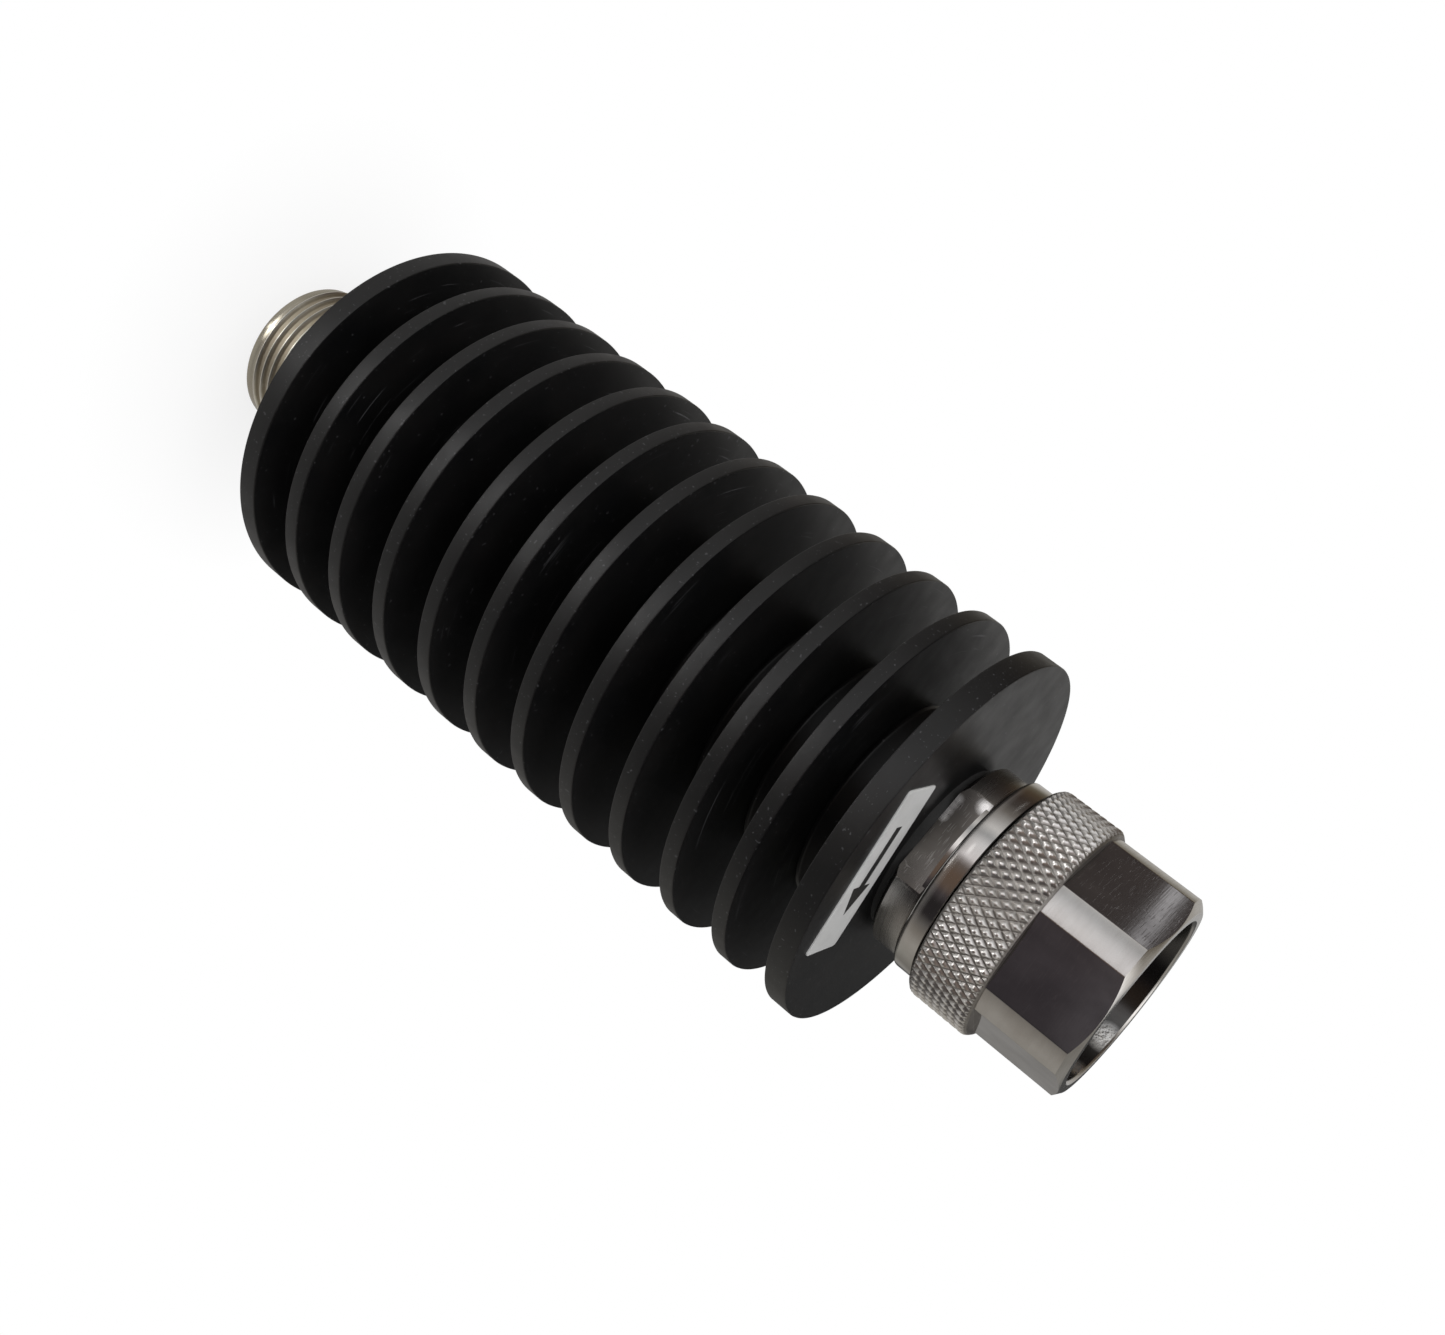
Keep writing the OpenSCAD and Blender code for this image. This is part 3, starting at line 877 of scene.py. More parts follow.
@dataclass
class FemaleConnector(Connector):
    """The jack: threaded barrel and flange, slotted socket and its shank."""

    mouth: float = 0.5
    bore_radius: float = 4.05
    depth: float = 9.1
    root_radius: float = 7.63
    thread_radius: float = 7.94
    thread_depth: float = 0.30
    thread_crest: float = 0.1
    thread_root: float = 0.46
    lead: float = 1.3
    lead_radius: float = 7.7
    lead_chamfer: float = 0.4
    lead_slope: float = 0.3
    thread_start: float = 0.8
    thread_low: float = 0.95
    thread_high: float = 10.5
    flange_low: float = 11.5
    flange_high: float = 13.4
    flange_radius: float = 9.3
    flange_chamfer: float = 0.4
    flats_azimuth: float = 35.0
    neck_low: float = 11.7
    stub_low: float = 15.0
    stub_high: float = 22.5
    sink_low: float = 14.5
    columns: int = 192
    finger_columns: int = 12
    lead_round: float = 0.08
    socket_bore: float = 0.86
    socket_tip: float = 4.1
    socket_split: float = 8.2
    socket_floor: float = 8.7
    socket_face: float = 9.4
    bore_chamfer: float = 0.1
    fingers: int = 4
    finger_slot: float = 0.30

    def build_shell(self, plain: Material, flat: Material, thread: Material) -> None:
        """Turns the barrel and flange, winds the thread and mills two flats.

        Args:
            plain: Finish of the turned faces.
            flat: Finish of the flats.
            thread: Finish of the thread.
        """
        root, mouth = self.root_radius, self.mouth
        blank = Blank([
            (self.bore_radius + mouth, 0.0), (self.lead_radius - self.lead_chamfer, 0.0),
            (self.lead_radius, self.lead_chamfer), (self.lead_radius, self.lead - self.lead_slope),
            (root, self.lead), (root, self.neck_low), (self.neck_radius, self.neck_low),
            (self.neck_radius, self.stub_low), (self.stub_radius, self.stub_low),
            (self.stub_radius, self.stub_high), (self.rear_radius, self.stub_high),
            (self.rear_radius, self.sink_low), (self.line_radius, self.sink_low),
            (self.line_radius, self.depth), (self.bore_radius, self.depth), (self.bore_radius, mouth)],
            self.columns)
        blank.soften(self.lead_round, 2, lambda p: p.z < self.lead - self.lead_slope)
        blank.paint(Region.PATTERN, lambda p: abs(reach(p) - root) < HAIR)
        slope = self.flange_radius - self.flange_chamfer
        flange = Blank([
            (self.neck_radius, self.flange_low), (slope, self.flange_low),
            (self.flange_radius, self.flange_low + self.flange_chamfer),
            (self.flange_radius, self.flange_high - self.flange_chamfer),
            (slope, self.flange_high), (self.neck_radius, self.flange_high)], self.columns)
        flange.mill_flats(2, self.flats, self.flats_azimuth)
        flange.soften(self.edge_round, 1, lambda p: reach(p) > self.stub_radius)
        screw = ScrewThread(
            self.thread_radius, root, self.thread_low, self.thread_high, self.thread_start, Region.PATTERN,
            True, self.thread_depth, self.thread_crest, self.thread_root)
        blank.join(flange)
        blank.join(screw.build())
        blank.mount("jack_shell", BODY, "jack_metal", [plain, flat, thread], ["female_shell"])

    def build_socket(self, gold: Material) -> None:
        """Turns the slotted socket: fingers in front, a solid shank behind.

        Args:
            gold: The plating.
        """
        bore, radius, tip, split = self.socket_bore, self.contact_radius, self.socket_tip, self.socket_split
        finger = [(bore, tip + self.bore_chamfer), (bore + self.bore_chamfer, tip),
                  (radius - self.tip_chamfer, tip), (radius, tip + self.tip_chamfer), (radius, split),
                  (bore, split)]
        gap, step = self.finger_slot / radius, math.tau / self.fingers
        blank = Blank()
        for index in range(self.fingers):
            blank.sweep(finger, index * step + gap / 2, step - gap, self.finger_columns)
        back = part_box("female_socket")[1].z / MM
        tail = back - self.tail_length
        shank = Blank([
            (bore, split), (radius, split), (radius, self.socket_face),
            (self.shaft_radius, self.socket_face), (self.shaft_radius, tail), (self.tail_radius, tail),
            (self.tail_radius, back), (self.axis_radius, back), (self.axis_radius, self.socket_floor),
            (bore, self.socket_floor)], self.contact_columns)
        blank.join(shank)
        blank.mount("jack_socket", BODY, "contact_gold", [gold], ["female_socket"])


@dataclass
class MaleConnector(Connector):
    """The plug: base with flats, polished collar, barrel, slotted sleeve and pin."""

    base_low: float = 85.3
    base_high: float = 88.2
    base_radius: float = 9.3
    base_chamfer: float = 0.4
    groove_low: float = 87.9
    groove_radius: float = 9.0
    collar_low: float = 88.45
    collar_high: float = 90.5
    collar_radius: float = 9.9
    collar_round: float = 0.18
    flats_azimuth: float = -97.5
    stub_low: float = 76.5
    stub_high: float = 84.0
    sink_high: float = 84.5
    barrel_radius: float = 6.45
    clip_low: float = 92.46
    clip_high: float = 93.12
    clip_radius: float = 5.99
    gasket_low: float = 93.82
    sleeve_low: float = 89.82
    sleeve_seat_radius: float = 4.22
    sleeve_root_radius: float = 4.2
    sleeve_radius: float = 4.0
    sleeve_step: float = 95.12
    sleeve_split: float = 99.72
    sleeve_tip: float = 104.12
    sleeve_slots: int = 6
    slot_width: float = 0.4
    sleeve_columns: int = 96
    finger_columns: int = 16
    bore_chamfer: float = 0.05
    pin_radius: float = 0.82
    pin_point: float = 0.6
    point_angles: range = range(0, 86, 17)
    pin_shoulder: float = 98.82
    insulator_high: float = 92.0

    def build_shell(self, turned: Material, milled: Material, rough: Material) -> None:
        """Turns the collar and barrel, and the base with its two flats.

        Args:
            turned: Finish of the collar and barrel.
            milled: Finish of the base's flats.
            rough: Finish of the base's round sides.
        """
        blank = Blank([
            (self.rear_radius, self.stub_low), (self.stub_radius, self.stub_low),
            (self.stub_radius, self.stub_high), (self.neck_radius, self.stub_high),
            (self.neck_radius, self.groove_low), (self.groove_radius, self.groove_low),
            (self.groove_radius, self.collar_low), (self.collar_radius, self.collar_low),
            (self.collar_radius, self.collar_high), (self.barrel_radius, self.collar_high),
            (self.barrel_radius, self.clip_low), (self.clip_radius, self.clip_low),
            (self.clip_radius, self.clip_high), (self.barrel_radius, self.clip_high),
            (self.barrel_radius, self.gasket_low), (self.sleeve_seat_radius, self.gasket_low),
            (self.sleeve_seat_radius, self.sleeve_low), (self.line_radius, self.sleeve_low),
            (self.line_radius, self.sink_high), (self.rear_radius, self.sink_high)], self.columns)
        blank.soften(self.collar_round, 3, lambda p: reach(p) > self.collar_radius - HAIR)
        base = Blank([
            (self.neck_radius, self.base_low), (self.base_radius - self.base_chamfer, self.base_low),
            (self.base_radius, self.base_low + self.base_chamfer), (self.base_radius, self.base_high),
            (self.neck_radius, self.base_high)], self.columns)
        base.mill_flats(2, self.flats, self.flats_azimuth)
        base.soften(self.edge_round, 2, lambda p: reach(p) > self.stub_radius)
        base.paint(Region.PATTERN)
        blank.join(base)
        blank.mount("plug_shell", BODY, "plug_metal", [turned, milled, rough], ["male_shell"])

    def build_sleeve(self, silver: Material) -> None:
        """Turns the sleeve's root and sweeps its fingers between the slots.

        Args:
            silver: The plating.
        """
        outer, inner, split, tip = self.sleeve_radius, self.line_radius, self.sleeve_split, self.sleeve_tip
        blank = Blank([
            (inner, self.sleeve_low), (self.sleeve_root_radius, self.sleeve_low),
            (self.sleeve_root_radius, self.sleeve_step), (outer, self.sleeve_step), (outer, split),
            (inner, split)], self.sleeve_columns)
        finger = [(inner, split), (outer, split), (outer, tip - self.tip_chamfer),
                  (outer - self.tip_chamfer, tip), (inner + self.bore_chamfer, tip),
                  (inner, tip - self.bore_chamfer)]
        gap, step = self.slot_width / outer, math.tau / self.sleeve_slots
        for index in range(self.sleeve_slots):
            blank.sweep(finger, (index - 0.5) * step + gap / 2, step - gap, self.finger_columns)
        blank.mount("plug_sleeve", BODY, "sleeve_metal", [silver], ["male_sleeve"])

    def build_pin(self, gold: Material) -> None:
        """Turns the centre pin with its shoulder and rounded point.

        Args:
            gold: The plating.
        """
        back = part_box("male_pin")[0].z / MM
        front = back + self.tail_length
        tip, shoulder = self.sleeve_tip, self.pin_shoulder
        point = [(self.pin_radius * math.cos(a), tip + self.pin_point * (math.sin(a) - 1))
                 for a in map(math.radians, self.point_angles)]
        blank = Blank([
            (self.axis_radius, back), (self.tail_radius, back), (self.tail_radius, front),
            (self.shaft_radius, front), (self.shaft_radius, self.insulator_high),
            (self.contact_radius, self.insulator_high), (self.contact_radius, shoulder - self.tip_chamfer),
            (self.contact_radius - self.tip_chamfer, shoulder), (self.pin_radius, shoulder), *point,
            (self.axis_radius, tip)], self.contact_columns)
        blank.mount("plug_pin", BODY, "contact_gold", [gold], ["male_pin"])


@dataclass
class CouplingNut:
    """The coupling nut: knurled band, six flats, chamfered mouth and inner thread."""

    low: float = 90.8
    shoulder: float = 97.05
    high: float = 106.0
    knurl_radius: float = 10.9
    knurl_chamfer: float = 0.35
    knurl_starts: int = 72
    knurl_period: float = 1.6
    knurl_depth: float = 0.25
    knurl_top: float = 1.5
    knurl_cells: int = 12
    chamfer_rows: int = 3
    core_radius: float = 9.3
    front_low: float = 96.25
    front_radius: float = 10.3
    columns: int = 360
    edge_round: float = 0.05
    least_angle: float = 14.0
    chamfer_out: float = 0.85
    chamfer_up: float = 0.65
    flats: float = 19.1
    flats_azimuth: float = 45.0
    mouth_radius: float = 8.35
    mouth_depth: float = 2.4
    mouth_chamfer: float = 0.25
    thread_low: float = 96.2
    thread_start: float = 96.5
    thread_root: float = 8.05
    thread_crest: float = 7.45
    relief_radius: float = 8.1
    flange_high: float = 92.4
    bore_radius: float = 6.5

    def knurl_limit(self, p: Vector) -> float:
        """Works out the knurled surface from two crossing sets of helical valleys.

        Args:
            p: A place near the surface.

        Returns:
            The surface's radius there.
        """
        turn = self.knurl_starts * math.atan2(p.y, p.x) / math.tau
        rise = (p.z - self.low) / self.knurl_period
        ridges = [1 - abs(2 * ((turn + way * rise) % 1.0) - 1) for way in (-1, 1)]
        height = min(1.0, self.knurl_top * min(ridges))
        return self.knurl_radius - self.knurl_depth * (1 - height)

    def on_knurl(self, p: Vector) -> bool:
        """Tells the band's outer side from its core."""
        return reach(p) > (self.core_radius + self.knurl_radius) / 2

    def press(self, p: Vector) -> Vector:
        """Sinks a place on the band's outer side to the knurled surface."""
        share = min(1.0, self.knurl_limit(p) / reach(p)) if self.on_knurl(p) else 1.0
        return Vector((p.x * share, p.y * share, p.z))

    def build_band(self) -> Blank:
        """Turns the band, presses the knurl into it and splits each face along its valley.

        Returns:
            The band.
        """
        chamfer = self.knurl_chamfer
        spacing = self.knurl_period / self.knurl_cells
        rows = int((self.shoulder - self.low - 2 * chamfer) / spacing)
        outer = [(self.knurl_radius, self.low + chamfer + k * spacing) for k in range(rows + 1)]
        steps = self.chamfer_rows
        cone = [(self.knurl_radius - chamfer * k / steps, chamfer * (steps - k) / steps)
                for k in range(steps, 0, -1)]
        below = [(radius, self.low + z) for radius, z in cone]
        above = [(radius, self.shoulder - z) for radius, z in reversed(cone)]
        band = Blank([(self.core_radius, self.low), *below, *outer, *above,
                             (self.core_radius, self.shoulder)], self.knurl_starts * self.knurl_cells)
        band.shape(self.press)
        for face in band.bm.faces[:]:
            corners = face.verts[:]
            if len(corners) == 4 and all(self.on_knurl(v.co / MM) for v in corners):
                radii = [reach(v.co) for v in corners]
                first = 0 if radii[0] + radii[2] < radii[1] + radii[3] else 1
                bmesh.utils.face_split(face, corners[first], corners[first + 2])
        band.paint(Region.PATTERN)
        return band

    def roomy(self, p: Vector) -> bool:
        """Tells the edges in front of the band that have room for a rounding on both sides.

        Args:
            p: An edge's middle.

        Returns:
            Whether the edge is one of them.
        """
        front_edge = self.front_radius - self.chamfer_out
        on_chamfer = p.z > self.high - self.chamfer_up - HAIR and reach(p) > front_edge + HAIR
        return p.z > self.shoulder and reach(p) > self.mouth_radius - HAIR and not on_chamfer

    def build_front(self) -> Blank:
        """Turns the nut from its inner flange to its mouth and mills the six flats.

        Returns:
            The nut without its band and thread.
        """
        top, mouth = self.high, self.mouth_radius
        thread_high = top - self.mouth_depth
        blank = Blank([
            (self.bore_radius, self.low), (self.core_radius, self.low), (self.core_radius, self.front_low),
            (self.front_radius, self.front_low), (self.front_radius, top - self.chamfer_up),
            (self.front_radius - self.chamfer_out, top), (mouth + self.mouth_chamfer, top),
            (mouth, top - self.mouth_chamfer), (mouth, thread_high), (self.thread_root, thread_high),
            (self.thread_root, self.thread_low), (self.relief_radius, self.thread_low),
            (self.relief_radius, self.flange_high), (self.bore_radius, self.flange_high)], self.columns)
        blank.mill_flats(6, self.flats, self.flats_azimuth)
        blank.soften(self.edge_round, 2, self.roomy, self.least_angle)
        # The inner wall and thread take the inner finish, whose dark colour is painted shade inside the
        # bore.
        blank.paint(Region.INNER, lambda p: reach(p) < mouth + self.edge_round)
        return blank

    def build(self, finishes: list[Material]) -> None:
        """Builds the nut as one piece.

        Args:
            finishes: Its turned, milled, knurled and inner finishes, in the order of Region; the knurled
                one holds painted shade and highlight, and the inner one painted shade and glints.
        """
        screw = ScrewThread(
            self.thread_crest, self.thread_root, self.thread_low, self.high - self.mouth_depth,
            self.thread_start, Region.INNER, False)
        nut = self.build_front()
        nut.join(self.build_band())
        nut.join(screw.build())
        nut.mount("nut", NUT, "nut_metal", finishes, ["coupling_nut"])


class Cartridge:
    """The pieces inside the heat sink and between the connectors, which keep their solids."""

    def dress(self, palette: "Palette") -> None:
        """Gives each of the pieces its finish.

        Args:
            palette: The materials.
        """
        groups = (
            (palette.insulator, ("female_insulator", "male_insulator", "output_bead", "input_bead")),
            (palette.rubber, ("female_seat_ring", "male_seat_ring", "face_gasket")),
            (palette.gold, ("output_rod", "input_rod", "output_ribbon", "input_ribbon")),
            (palette.carrier, ("carrier_base", "carrier_cover")), (palette.spring, ("retaining_ring",)),
            (palette.screw, ("carrier_screws",)), (palette.ceramic, ("attenuator_chip",)))
        for finish, nodes in groups:
            for node in nodes:
                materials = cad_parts[node].data.materials
                materials.clear()
                materials.append(finish)
                log.info("%s: dressed with %s", node, finish.name)


class Palette:
    """Every material of the attenuator, built once."""

    def __init__(self, sink: HeatSink) -> None:
        """Builds the materials.

        Args:
            sink: The heat sink, whose rim and end face are worn.
        """
        steel, grey = (0.62, 0.605, 0.585), (0.50, 0.475, 0.45)
        warm, dull = (0.60, 0.56, 0.46), (0.45, 0.41, 0.33)
        # Painted glints: spots on the base's flat by the sink, and spots inside the nut's mouth, whose pale
        # colour stands in for highlights.
        edge = ((-2.6, -7.72, 85.45, 0.6), (-3.2, -7.64, 85.45, 0.6), (-3.8, -7.57, 85.45, 0.6),
                (-4.4, -7.49, 85.5, 0.6), (-5.2, -7.4, 87.7, 0.9))
        mouth_glints = ((3.8, 7.43, 105.2, 1.7), (7.3, 4.1, 105.3, 1.4))
        self.anodise = BlackAnodise(sink.radius, sink.high).build()
        self.collar = TurnedMetal("polished_steel", steel, grey, (0.08, 0.13)).build()
        self.base = TurnedMetal("turned_base", (0.42, 0.405, 0.39), (0.30, 0.285, 0.27),
                                (0.20, 0.30)).build()
        self.milled = MilledMetal(
            "milled_steel", (0.21, 0.197, 0.185), (0.14, 0.13, 0.118), (0.20, 0.30), scratches=0.18,
            mark_depth=0.000003, rubbed=edge, glint_roughness=-0.08,
            glint_speckle=Cloud(1900.0, shown=(0.16, 0.32))).build()
        self.nut = TurnedMetal("turned_steel", steel, grey).build()
        self.nut_flat = MilledMetal(
            "nut_flats", (0.58, 0.57, 0.58), (0.37, 0.36, 0.37), (0.045, 0.065), scratches=0.08,
            mark_depth=0.0000005).build()
        # Painted shade: the bore and inner thread take a dark colour for the shade inside the nut, with
        # painted glints at the mouth.
        self.nut_inside_shade_and_glints = MilledMetal(
            "inner_steel_shade_and_glints", (0.10, 0.098, 0.095), (0.06, 0.058, 0.055), (0.15, 0.28), scratches=0.0,
            mark_depth=0.000003, rubbed=mouth_glints, glint_roughness=0.10,
            glint_speckle=Cloud(1900.0, shown=(0.15, 0.33)), dent_depth=0.00008).build()
        # Knurl and thread: the pale crest colour is partly a painted highlight, and the dark colour of the
        # hollows is painted shade.
        self.knurl = ReliefMetal("knurled_steel", (0.97, 0.95, 0.92), (0.33, 0.31, 0.29), (10.66, 10.85),
                                 (0.45, 0.28)).build()
        self.jack = TurnedMetal("turned_nickel", warm, dull, (0.15, 0.22)).build()
        self.jack_flat = MilledMetal("milled_nickel", warm, dull).build()
        self.thread = ReliefMetal("thread_nickel", (0.88, 0.85, 0.76), (0.54, 0.48, 0.37), (7.74, 7.90),
                                  (0.55, 0.28)).build()
        self.silver = self.metal("silver_plate", (0.74, 0.73, 0.70), (0.62, 0.60, 0.56), (0.2, 0.3))
        self.gold = self.metal("gold_plate", (0.83, 0.60, 0.24), (0.76, 0.53, 0.20), (0.18, 0.28))
        self.spring = self.metal("spring_bronze", (0.62, 0.48, 0.27), (0.5, 0.38, 0.2), (0.3, 0.4))
        self.carrier = self.metal("machined_brass", (0.70, 0.55, 0.28), (0.62, 0.46, 0.22), (0.25, 0.4))
        self.screw = self.metal("screw_steel", (0.40, 0.40, 0.41), (0.3, 0.3, 0.31), (0.3, 0.4))
        self.insulator = self.matt("white_insulator", (0.84, 0.84, 0.82), (0.78, 0.78, 0.76), (0.35, 0.45))
        self.rubber = self.matt("black_rubber", (0.018, 0.018, 0.018), (0.03, 0.03, 0.03), (0.6, 0.75))
        self.ceramic = self.matt("ceramic", (0.82, 0.81, 0.76), (0.74, 0.73, 0.68), (0.5, 0.6))
        self.foil = self.matt("label_foil", (0.60, 0.60, 0.595), (0.52, 0.52, 0.515), (0.30, 0.42))
        self.ink = self.matt("black_ink", (0.012, 0.012, 0.012), (0.02, 0.02, 0.02), (0.4, 0.5))

    def metal(self, name: str, colour: Colour, other: Colour, rough: Span) -> Material:
        """Returns an even metal."""
        return PlainFinish(name, colour, other, rough, 1.0).build()

    def matt(self, name: str, colour: Colour, other: Colour, rough: Span) -> Material:
        """Returns an even material that is no metal."""
        return PlainFinish(name, colour, other, rough).build()


@dataclass(frozen=True)
class Window:
    """A soft oval window in the surroundings, with its sizes and place in degrees.

    Its rise is its middle's height over the horizon, and its power the brightness there.
    """

    azimuth: float
    rise: float
    half_width: float
    half_height: float
    power: float


class Sky(NodeKit):
    """The nodes of the world, with the two measures of a direction: around the axis and rise."""

    def __init__(self, world: bpy.types.World) -> None:
        """Clears the world's nodes and adds the measures.

        Args:
            world: The world.
        """
        world.use_nodes = True
        world.node_tree.nodes.clear()
        super().__init__(world.node_tree)
        looking = self.node("ShaderNodeTexCoord").outputs["Generated"]
        x, y, z = self.node("ShaderNodeSeparateXYZ", Vector=looking).outputs
        self.around = self.maths("ARCTAN2", x, self.times(y, -1.0))
        self.rise = self.maths("ARCSINE", z)

    def shine(self, colour: object, strength: object = 1.0) -> Socket:
        """Returns a background of a colour and strength."""
        return self.stack("ShaderNodeBackground", colour, strength)

    def glow(self, window: Window) -> Socket:
        """Lights a window, brightest in its middle.

        Args:
            window: The window.

        Returns:
            The strength's socket.
        """
        squares = []
        for value, centre, half in ((self.around, window.azimuth, window.half_width),
                                    (self.rise, window.rise, window.half_height)):
            apart = self.maths("SUBTRACT", value, math.radians(centre))
            share = self.maths("DIVIDE", apart, math.radians(half))
            squares.append(self.times(share, share))
        inside = self.maths("SUBTRACT", 1.0, self.maths("ADD", *squares), True)
        return self.times(inside, window.power)

    def strips(self, stops: tuple[Spot, ...], low_sky: Span, low_shade: Colour) -> Socket:
        """Stands upright strips round the horizon.

        Args:
            stops: Azimuth and colour of each stop, all the way round.
            low_sky: Heights below which they have evened out, and above which they are full.
            low_shade: The even colour below.

        Returns:
            The strips' colour.
        """
        ramp = self.node("ShaderNodeValToRGB", Fac=self.band(self.around, -math.pi, math.pi))
        made = ramp.color_ramp.elements
        first, *between, last = stops
        made[0].color, made[1].color = (*first[1:], 1.0), (*last[1:], 1.0)
        for angle, *shade in between:
            made.new((angle + 180) / 360).color = (*shade, 1.0)
        low = self.band(self.rise, *(math.radians(k) for k in low_sky), 1.0, 0.0)
        return self.blend(low, ramp.outputs[0], low_shade)


@dataclass
class Studio:
    """White surroundings, a pale floor, a soft lamp and the camera."""

    frame_size: tuple[int, int] = (1445, 1335)
    focal_px: float = 1644.6
    centre_px: Span = (812.1, 792.8)
    sensor: float = 36.0
    place: Place = (0.0, -139.03, 119.52)
    azimuth: float = -1.169
    elevation: float = -18.616
    roll: float = 128.522
    floor_radius: float = 900.0
    floor_drop: float = 0.05
    floor_colour: Colour = (0.86, 0.86, 0.86)
    shadow_reach: Span = (6.0, 26.0)
    shadow_white: Span = (0.8, 1.0)
    level: float = 0.62
    surroundings: tuple[Spot, ...] = (
        (-180, 0.47, 0.47, 0.47), (-158, 0.52, 0.50, 0.47), (-148, 0.45, 0.43, 0.39),
        (-137, 0.17, 0.15, 0.11), (-124, 0.10, 0.072, 0.047), (-106, 0.055, 0.04, 0.032),
        (-90, 0.075, 0.065, 0.06), (-76, 0.21, 0.195, 0.18), (-64, 0.46, 0.45, 0.44),
        (-52, 0.76, 0.75, 0.74), (-42, 0.46, 0.47, 0.48), (-32, 0.90, 0.90, 0.92),
        (-14, 1.0, 0.97, 0.99), (-9, 0.40, 0.37, 0.37), (-4, 0.17, 0.14, 0.125),
        (8, 0.165, 0.115, 0.086), (22, 0.145, 0.105, 0.083), (30, 0.072, 0.062, 0.066),
        (40, 0.026, 0.023, 0.024), (58, 0.033, 0.03, 0.032), (68, 0.16, 0.152, 0.145),
        (80, 0.28, 0.26, 0.235), (98, 0.42, 0.40, 0.37), (118, 0.37, 0.36, 0.33),
        (138, 0.23, 0.22, 0.20), (152, 0.34, 0.33, 0.31), (162, 0.10, 0.10, 0.10),
        (180, 0.05, 0.05, 0.05))
    low_sky: Span = (-36.0, -16.0)
    low_shade: Colour = (0.42, 0.41, 0.40)
    windows: tuple[Window, ...] = (
        Window(-1.0, -31.0, 22.0, 7.0, 5.0), Window(-93.0, -6.65, 16.0, 0.38, 0.65),
        Window(29.0, -5.8, 14.0, 1.6, 0.03), Window(0.0, 90.0, 720.0, 22.0, 1.5),
        Window(-1.0, -43.0, 5.0, 5.0, 4.5), Window(-22.0, -13.0, 8.0, 3.0, 0.5))
    lamp_place: Place = (-210.0, -360.0, 420.0)
    lamp_aim: Place = (0.0, 0.0, 55.0)
    lamp_size: float = 260.0
    lamp_power: float = 1.6

    def clear(self) -> None:
        """Takes away what a new file holds."""
        for name in ("Cube", "Light", "Camera"):
            if name in bpy.data.objects:
                bpy.data.objects.remove(bpy.data.objects[name])

    def add(self, name: str, data: bpy.types.ID) -> bpy.types.Object:
        """Adds an object to the scene.

        Args:
            name: Its name.
            data: Its camera, light or mesh.

        Returns:
            The object.
        """
        made = bpy.data.objects.new(name, data)
        bpy.context.scene.collection.objects.link(made)
        return made

    def add_camera(self) -> None:
        """Sets the camera at the photograph's place, with its framing."""
        width, height = self.frame_size
        data = bpy.data.cameras.new("camera")
        data.sensor_width = self.sensor
        data.lens = self.sensor * self.focal_px / width
        data.shift_x = (width / 2 - self.centre_px[0]) / width
        data.shift_y = (self.centre_px[1] - height / 2) / width
        data.clip_start, data.clip_end = 0.01, 10.0
        camera = self.add("camera", data)
        camera.matrix_world = (Matrix.Translation(Vector(self.place) * MM)
                               @ Matrix.Rotation(math.radians(self.azimuth), 4, "Z")
                               @ Matrix.Rotation(math.radians(90 + self.elevation), 4, "X")
                               @ Matrix.Rotation(math.radians(self.roll), 4, "Z"))
        bpy.context.scene.camera = camera

    def add_world(self) -> None:
        """Makes a white world for the camera, an even one for light and a studio for reflections."""
        world = bpy.data.worlds.new("studio")
        bpy.context.scene.world = world
        sky = Sky(world)
        white = (1.0, 1.0, 1.0, 1.0)
        mirrored = sky.shine(sky.strips(self.surroundings, self.low_sky, self.low_shade))
        for window in self.windows:
            mirrored = sky.stack("ShaderNodeAddShader", mirrored, sky.shine(white, sky.glow(window)))
        path = sky.node("ShaderNodeLightPath").outputs
        even = sky.shine(white, self.level)
        light = sky.stack("ShaderNodeMixShader", path["Is Glossy Ray"], even, mirrored)
        straight = sky.maths("MAXIMUM", path["Is Camera Ray"], path["Is Transmission Ray"])
        surface = sky.stack("ShaderNodeMixShader", straight, light, sky.shine(white))
        sky.node("ShaderNodeOutputWorld", Surface=surface)

    def add_floor(self) -> None:
        """Lays a pale floor that keeps the soft shadow near the part and fades to white."""
        bm = bmesh.new()
        bmesh.ops.create_circle(bm, cap_ends=True, radius=self.floor_radius * MM, segments=96)
        bmesh.ops.translate(bm, vec=(0, 0, -self.floor_drop * MM), verts=bm.verts)
        mesh = bpy.data.meshes.new("floor")
        bm.to_mesh(mesh)
        bm.free()
        floor = self.add("floor", mesh)
        floor.visible_glossy = False
        recipe = Recipe("pale_floor")
        matt = recipe.stack("ShaderNodeBsdfDiffuse", (*self.floor_colour, 1.0))
        white = recipe.stack("ShaderNodeEmission", (1.0, 1.0, 1.0, 1.0), 1.0)
        path = recipe.node("ShaderNodeLightPath")
        share = recipe.band(recipe.radius, *(k * MM for k in self.shadow_reach), *self.shadow_white)
        share = recipe.times(share, path.outputs["Is Camera Ray"])
        output = next(n for n in recipe.tree.nodes if n.type == "OUTPUT_MATERIAL")
        recipe.fill(output, Surface=recipe.stack("ShaderNodeMixShader", share, matt, white))
        mesh.materials.append(recipe.material)

    def add_lamp(self) -> None:
        """Hangs a square soft lamp that looks at the part's middle and shows in no reflection."""
        data = bpy.data.lights.new("key", "AREA")
        data.size = self.lamp_size * MM
        data.energy = self.lamp_power
        lamp = self.add("key", data)
        lamp.location = Vector(self.lamp_place) * MM
        lamp.visible_glossy = False
        lamp.rotation_mode = "QUATERNION"
        aim = Vector(self.lamp_aim) - Vector(self.lamp_place)
        lamp.rotation_quaternion = aim.to_track_quat("-Z", "Y")

    def set_up(self) -> None:
        """Builds the whole studio."""
        self.clear()
        self.add_camera()
        self.add_world()
        self.add_floor()
        self.add_lamp()
        bpy.context.scene.view_settings.view_transform = "Standard"


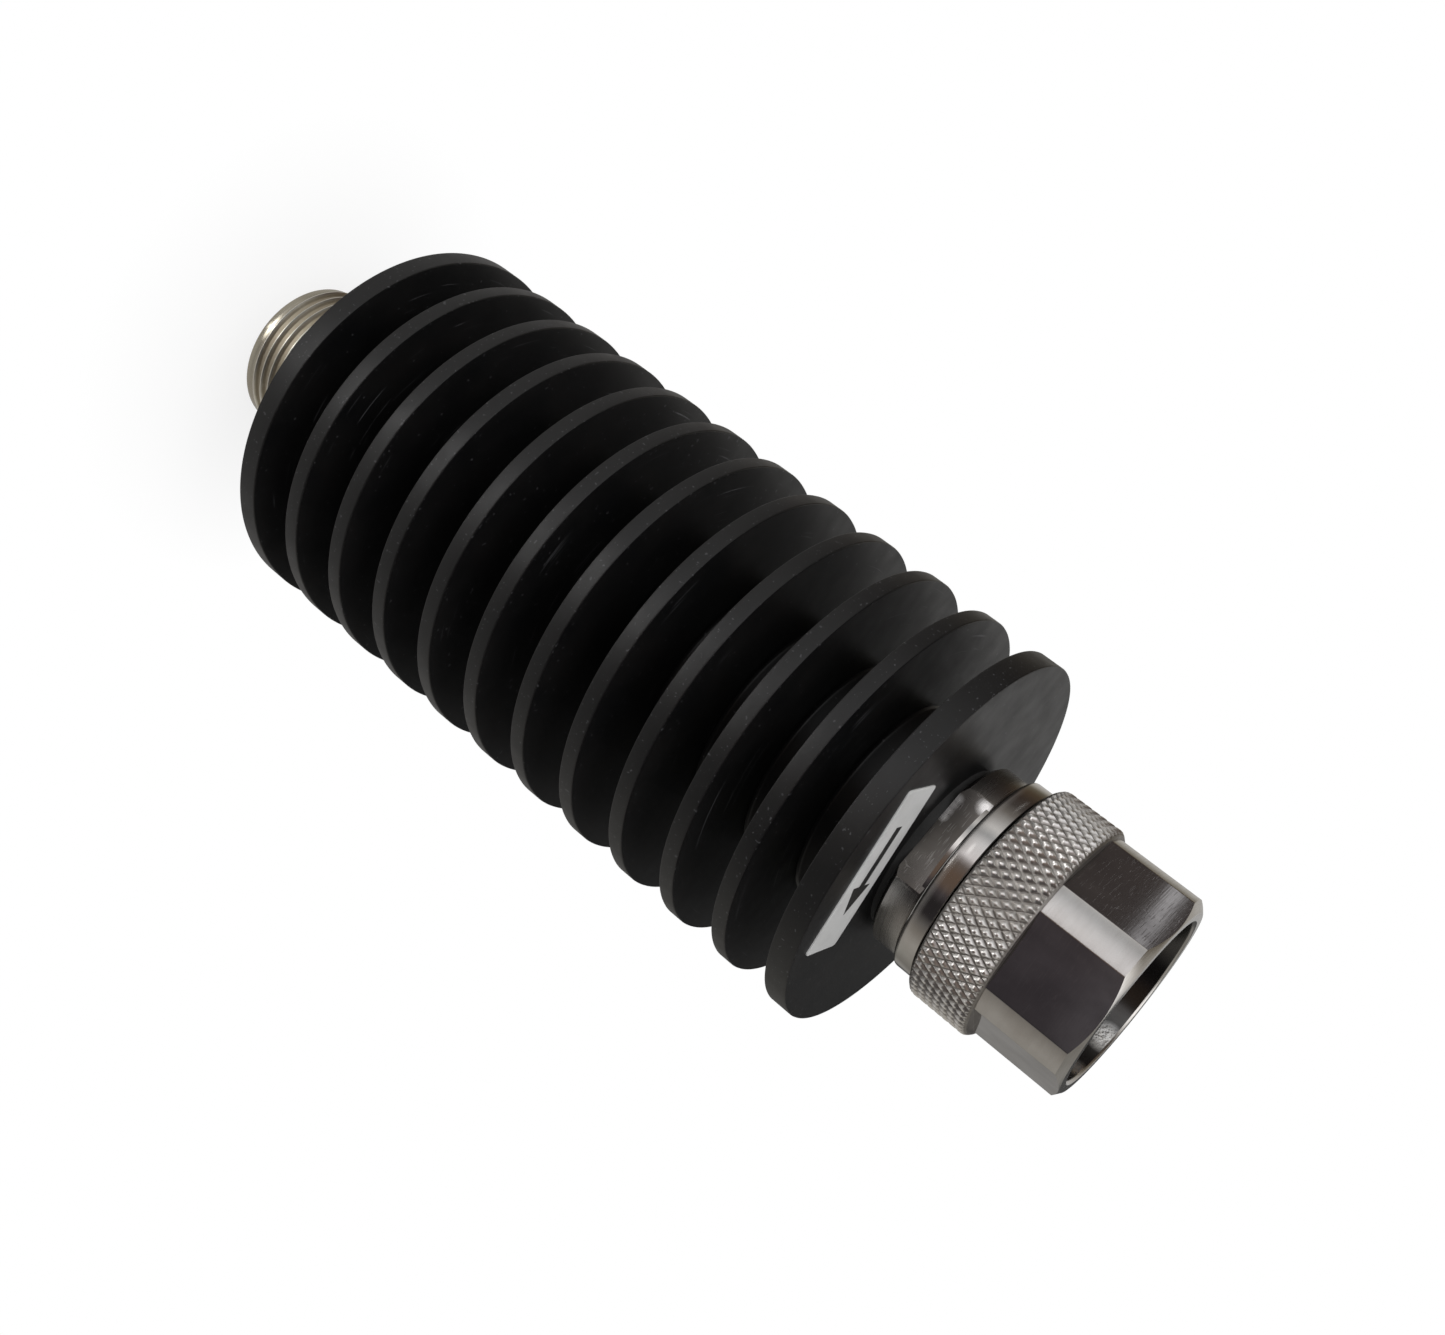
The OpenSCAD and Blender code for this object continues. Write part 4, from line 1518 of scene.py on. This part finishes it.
def main() -> None:
    """Builds every sub-assembly in order."""
    logging.basicConfig(level=logging.INFO, format="%(name)s: %(message)s")
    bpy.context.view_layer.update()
    sink = HeatSink()
    palette = Palette(sink)
    sink.build_sink(palette.anodise)
    sink.build_label(palette.foil)
    sink.build_arrow(palette.ink)
    jack = FemaleConnector()
    jack.build_shell(palette.jack, palette.jack_flat, palette.thread)
    jack.build_socket(palette.gold)
    plug = MaleConnector()
    plug.build_shell(palette.collar, palette.milled, palette.base)
    plug.build_sleeve(palette.silver)
    plug.build_pin(palette.gold)
    CouplingNut().build([palette.nut, palette.nut_flat, palette.knurl, palette.nut_inside_shade_and_glints])
    Cartridge().dress(palette)
    Studio().set_up()


if __name__ == "__main__":
    main()
